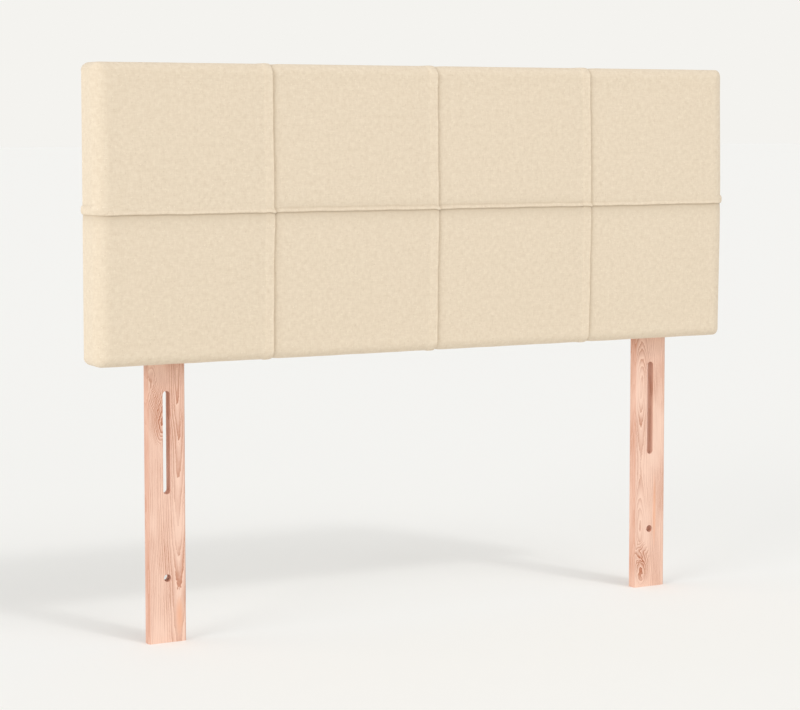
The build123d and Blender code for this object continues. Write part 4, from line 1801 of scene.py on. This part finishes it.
@dataclass
class Staple:
    """A wire staple driven nearly flush, with its crown across the back.

    Attributes:
        crown: Width of the crown.
        wire: Width of the flat wire.
        height: Thickness of the wire.
        bend: Size of the bent corners.
        proud: How far the crown stands above the cloth.
        sunk: How deep the legs reach below the cloth.
    """

    crown: float = 10 * MM
    wire: float = 1.2 * MM
    height: float = 0.55 * MM
    bend: float = 0.5 * MM
    proud: float = 0.6 * MM
    sunk: float = 1.5 * MM

    def surface(self) -> Surface:
        """Work out a flat wire carried up one leg, round a bent corner, over the crown and down again.

        Each point is a point of the path, plus its outward direction times the height, and the width
        across it. The path's first half is its second, mirrored.

        Returns:
            One staple with closed ends.
        """
        half, bend, top = self.crown / 2, self.bend, self.proud
        side = np.array([[half, -self.sunk], [half, top - bend], [half - 0.3 * bend, top - 0.3 * bend],
                         [half - bend, top]])
        normal = np.array([[-1, 0], [-1, 0], [-0.7, 0.7], [0, 1]])
        path = np.concatenate([side * (-1, 1), side[::-1]])
        outward = np.concatenate([normal, normal[::-1] * (-1, 1)])
        corners = np.array([[-0.5, 0.5, 0.5, -0.5], [0.0, 0.0, -1.0, -1.0]])
        across, out = corners * [[self.wire], [self.height]]
        ring = path[:, None, :] + outward[:, None, :] * out[None, :, None]
        width = np.broadcast_to(across, ring.shape[:2])[..., None]
        body = Surface.from_grid(np.concatenate([ring, width], axis=-1), closed=True)
        last = len(body.points) - 4
        caps = np.array([[3, 2, 1, 0], [last, last + 1, last + 2, last + 3]])
        return Surface(body.points, np.concatenate([body.faces, caps]))

    def many(self, places: Array, depth: Array) -> Surface:
        """Copies of the staple, each turned by its angle about Y.

        Args:
            places: Rows of x, z and angle.
            depth: Y of the cloth at each.

        Returns:
            All staples as one surface.
        """
        one = self.surface()
        cos, sin = np.cos(places[:, 2:]), np.sin(places[:, 2:])
        across, out, wire = one.points.T
        x = places[:, :1] + cos * across - sin * wire
        y = depth[:, None] + np.broadcast_to(out, x.shape)
        z = places[:, 1:2] + sin * across + cos * wire
        points = np.stack([x, y, z], axis=-1).reshape(-1, 3)
        starts = np.arange(len(places))[:, None, None] * len(one.points)
        return Surface(points, (one.faces[None] + starts).reshape(-1, 4))


@dataclass
class Legs:
    """The two planed legs, each cut from its own plank, their edges eased by hand.

    Attributes:
        eased: Width of the eased edges.
        edge_angle: Angle from which an edge is eased, in degrees.
        left_stops: Depth of the left plank's centre line, by height, as shares.
        right_stops: The same for the right plank.
    """

    eased: float = 1.0 * MM
    edge_angle: float = 50
    left_stops: tuple[tuple[float, float], ...] = (
        (0.0, 0.92), (0.1, 0.76), (0.2, 0.62), (0.3, 0.47), (0.4, 0.3), (0.48, 0.16), (0.56, 0.05),
        (1.0, 0.4),
    )
    right_stops: tuple[tuple[float, float], ...] = (
        (0.0, 0.75), (0.06, 0.55), (0.1, 0.32), (0.13, 0.14), (0.16, 0.28), (0.2, 0.55), (0.24, 0.66),
        (0.3, 0.62), (0.36, 0.45), (0.4, 0.22), (0.44, 0.12), (0.48, 0.4), (0.53, 0.8), (0.6, 1.0),
        (1.0, 0.6),
    )

    def figure(self, side: str, middle: float) -> PlankFigure:
        """The figure of one leg's plank.

        Args:
            side: Which leg, left or right.
            middle: X of its middle.

        Returns:
            Where its rings, its curly patch and its resin lie.
        """
        if side == "left":
            curly = Patch(offset=-14 * MM, height=0.328, half_width=16 * MM, half_height=0.06)
            resin = Patch(offset=17 * MM, height=0.035, half_width=6 * MM, half_height=0.03)
            return PlankFigure(middle, heart_offset=17 * MM, depth_stops=self.left_stops,
                               heart_depth=24 * MM, curly=curly, resin=resin, drift=1.3)
        curly = Patch(offset=-13 * MM, height=0.035, half_width=15 * MM, half_height=0.035)
        resin = Patch(offset=9 * MM, height=0.115, half_width=3.5 * MM, half_height=0.06)
        return PlankFigure(middle, heart_offset=-16 * MM, depth_stops=self.right_stops,
                           heart_depth=22 * MM, curly=curly, resin=resin, drift=4.7)

    def build(self) -> None:
        """Ease the edges of both legs and dress them."""
        for side in ("left", "right"):
            low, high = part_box(f"{side}_leg")
            leg = frame["nodes"][f"{side}_leg"]
            add_modifier(leg, "BEVEL", width=self.eased, segments=2, limit_method="ANGLE",
                         angle_limit=math.radians(self.edge_angle))
            PlanedPine(self.figure(side, (low.x + high.x) / 2), low.y, high.y, high.z).dress(leg)
            log.info("%s leg: planed pine", side)


@dataclass
class TimberFrame:
    """The hidden frame: rails, stiles, battens and guides of sawn wood, with a board over its front.

    Attributes:
        level: Names of the timbers whose grain runs across.
        upright: Endings of the names of the timbers whose grain runs up.
    """

    level: tuple[str, ...] = ("top_rail", "bottom_rail")
    upright: tuple[str, ...] = ("stile", "batten", "guide")

    def build(self) -> None:
        """Dress the timbers and the board."""
        nodes = frame["nodes"]
        uprights = [node for name, node in nodes.items() if name.endswith(self.upright)]
        SawnPine(Grain.ACROSS).dress(*(nodes[name] for name in self.level))
        SawnPine(Grain.UP).dress(*uprights)
        Hardboard().dress(nodes["front_board"])
        log.info("frame: %d timbers and a board", len(self.level) + len(uprights))


@dataclass
class Hardware:
    """The bolts, washers and T-nuts that clamp the legs.

    Attributes:
        plates: Each plate, with the names of the pieces that have it.
    """

    plates: tuple[tuple[Finish, tuple[str, ...]], ...] = (
        (ZincPlate("bright_zinc"), ("washers", "t_nuts")),
        (ZincPlate("dull_zinc", linear(190, 190, 192), linear(140, 140, 144), 0.34), ("leg_bolts",)),
    )

    def build(self) -> None:
        """Dress them all in zinc, the bolts' duller than the rest."""
        for plate, names in self.plates:
            plate.dress(*(frame["nodes"][name] for name in names))
            log.info("%s: %s", plate.name, ", ".join(names))


def main() -> None:
    """Build the headboard's looks and the studio, in order."""
    logging.basicConfig(level=logging.INFO, format="%(message)s")
    cover = PaddedCover()
    for assembly in (cover, FoamPad(cover), BackLining(), Legs(), TimberFrame(), Hardware(), Studio()):
        assembly.build()


if __name__ == "__main__":
    main()
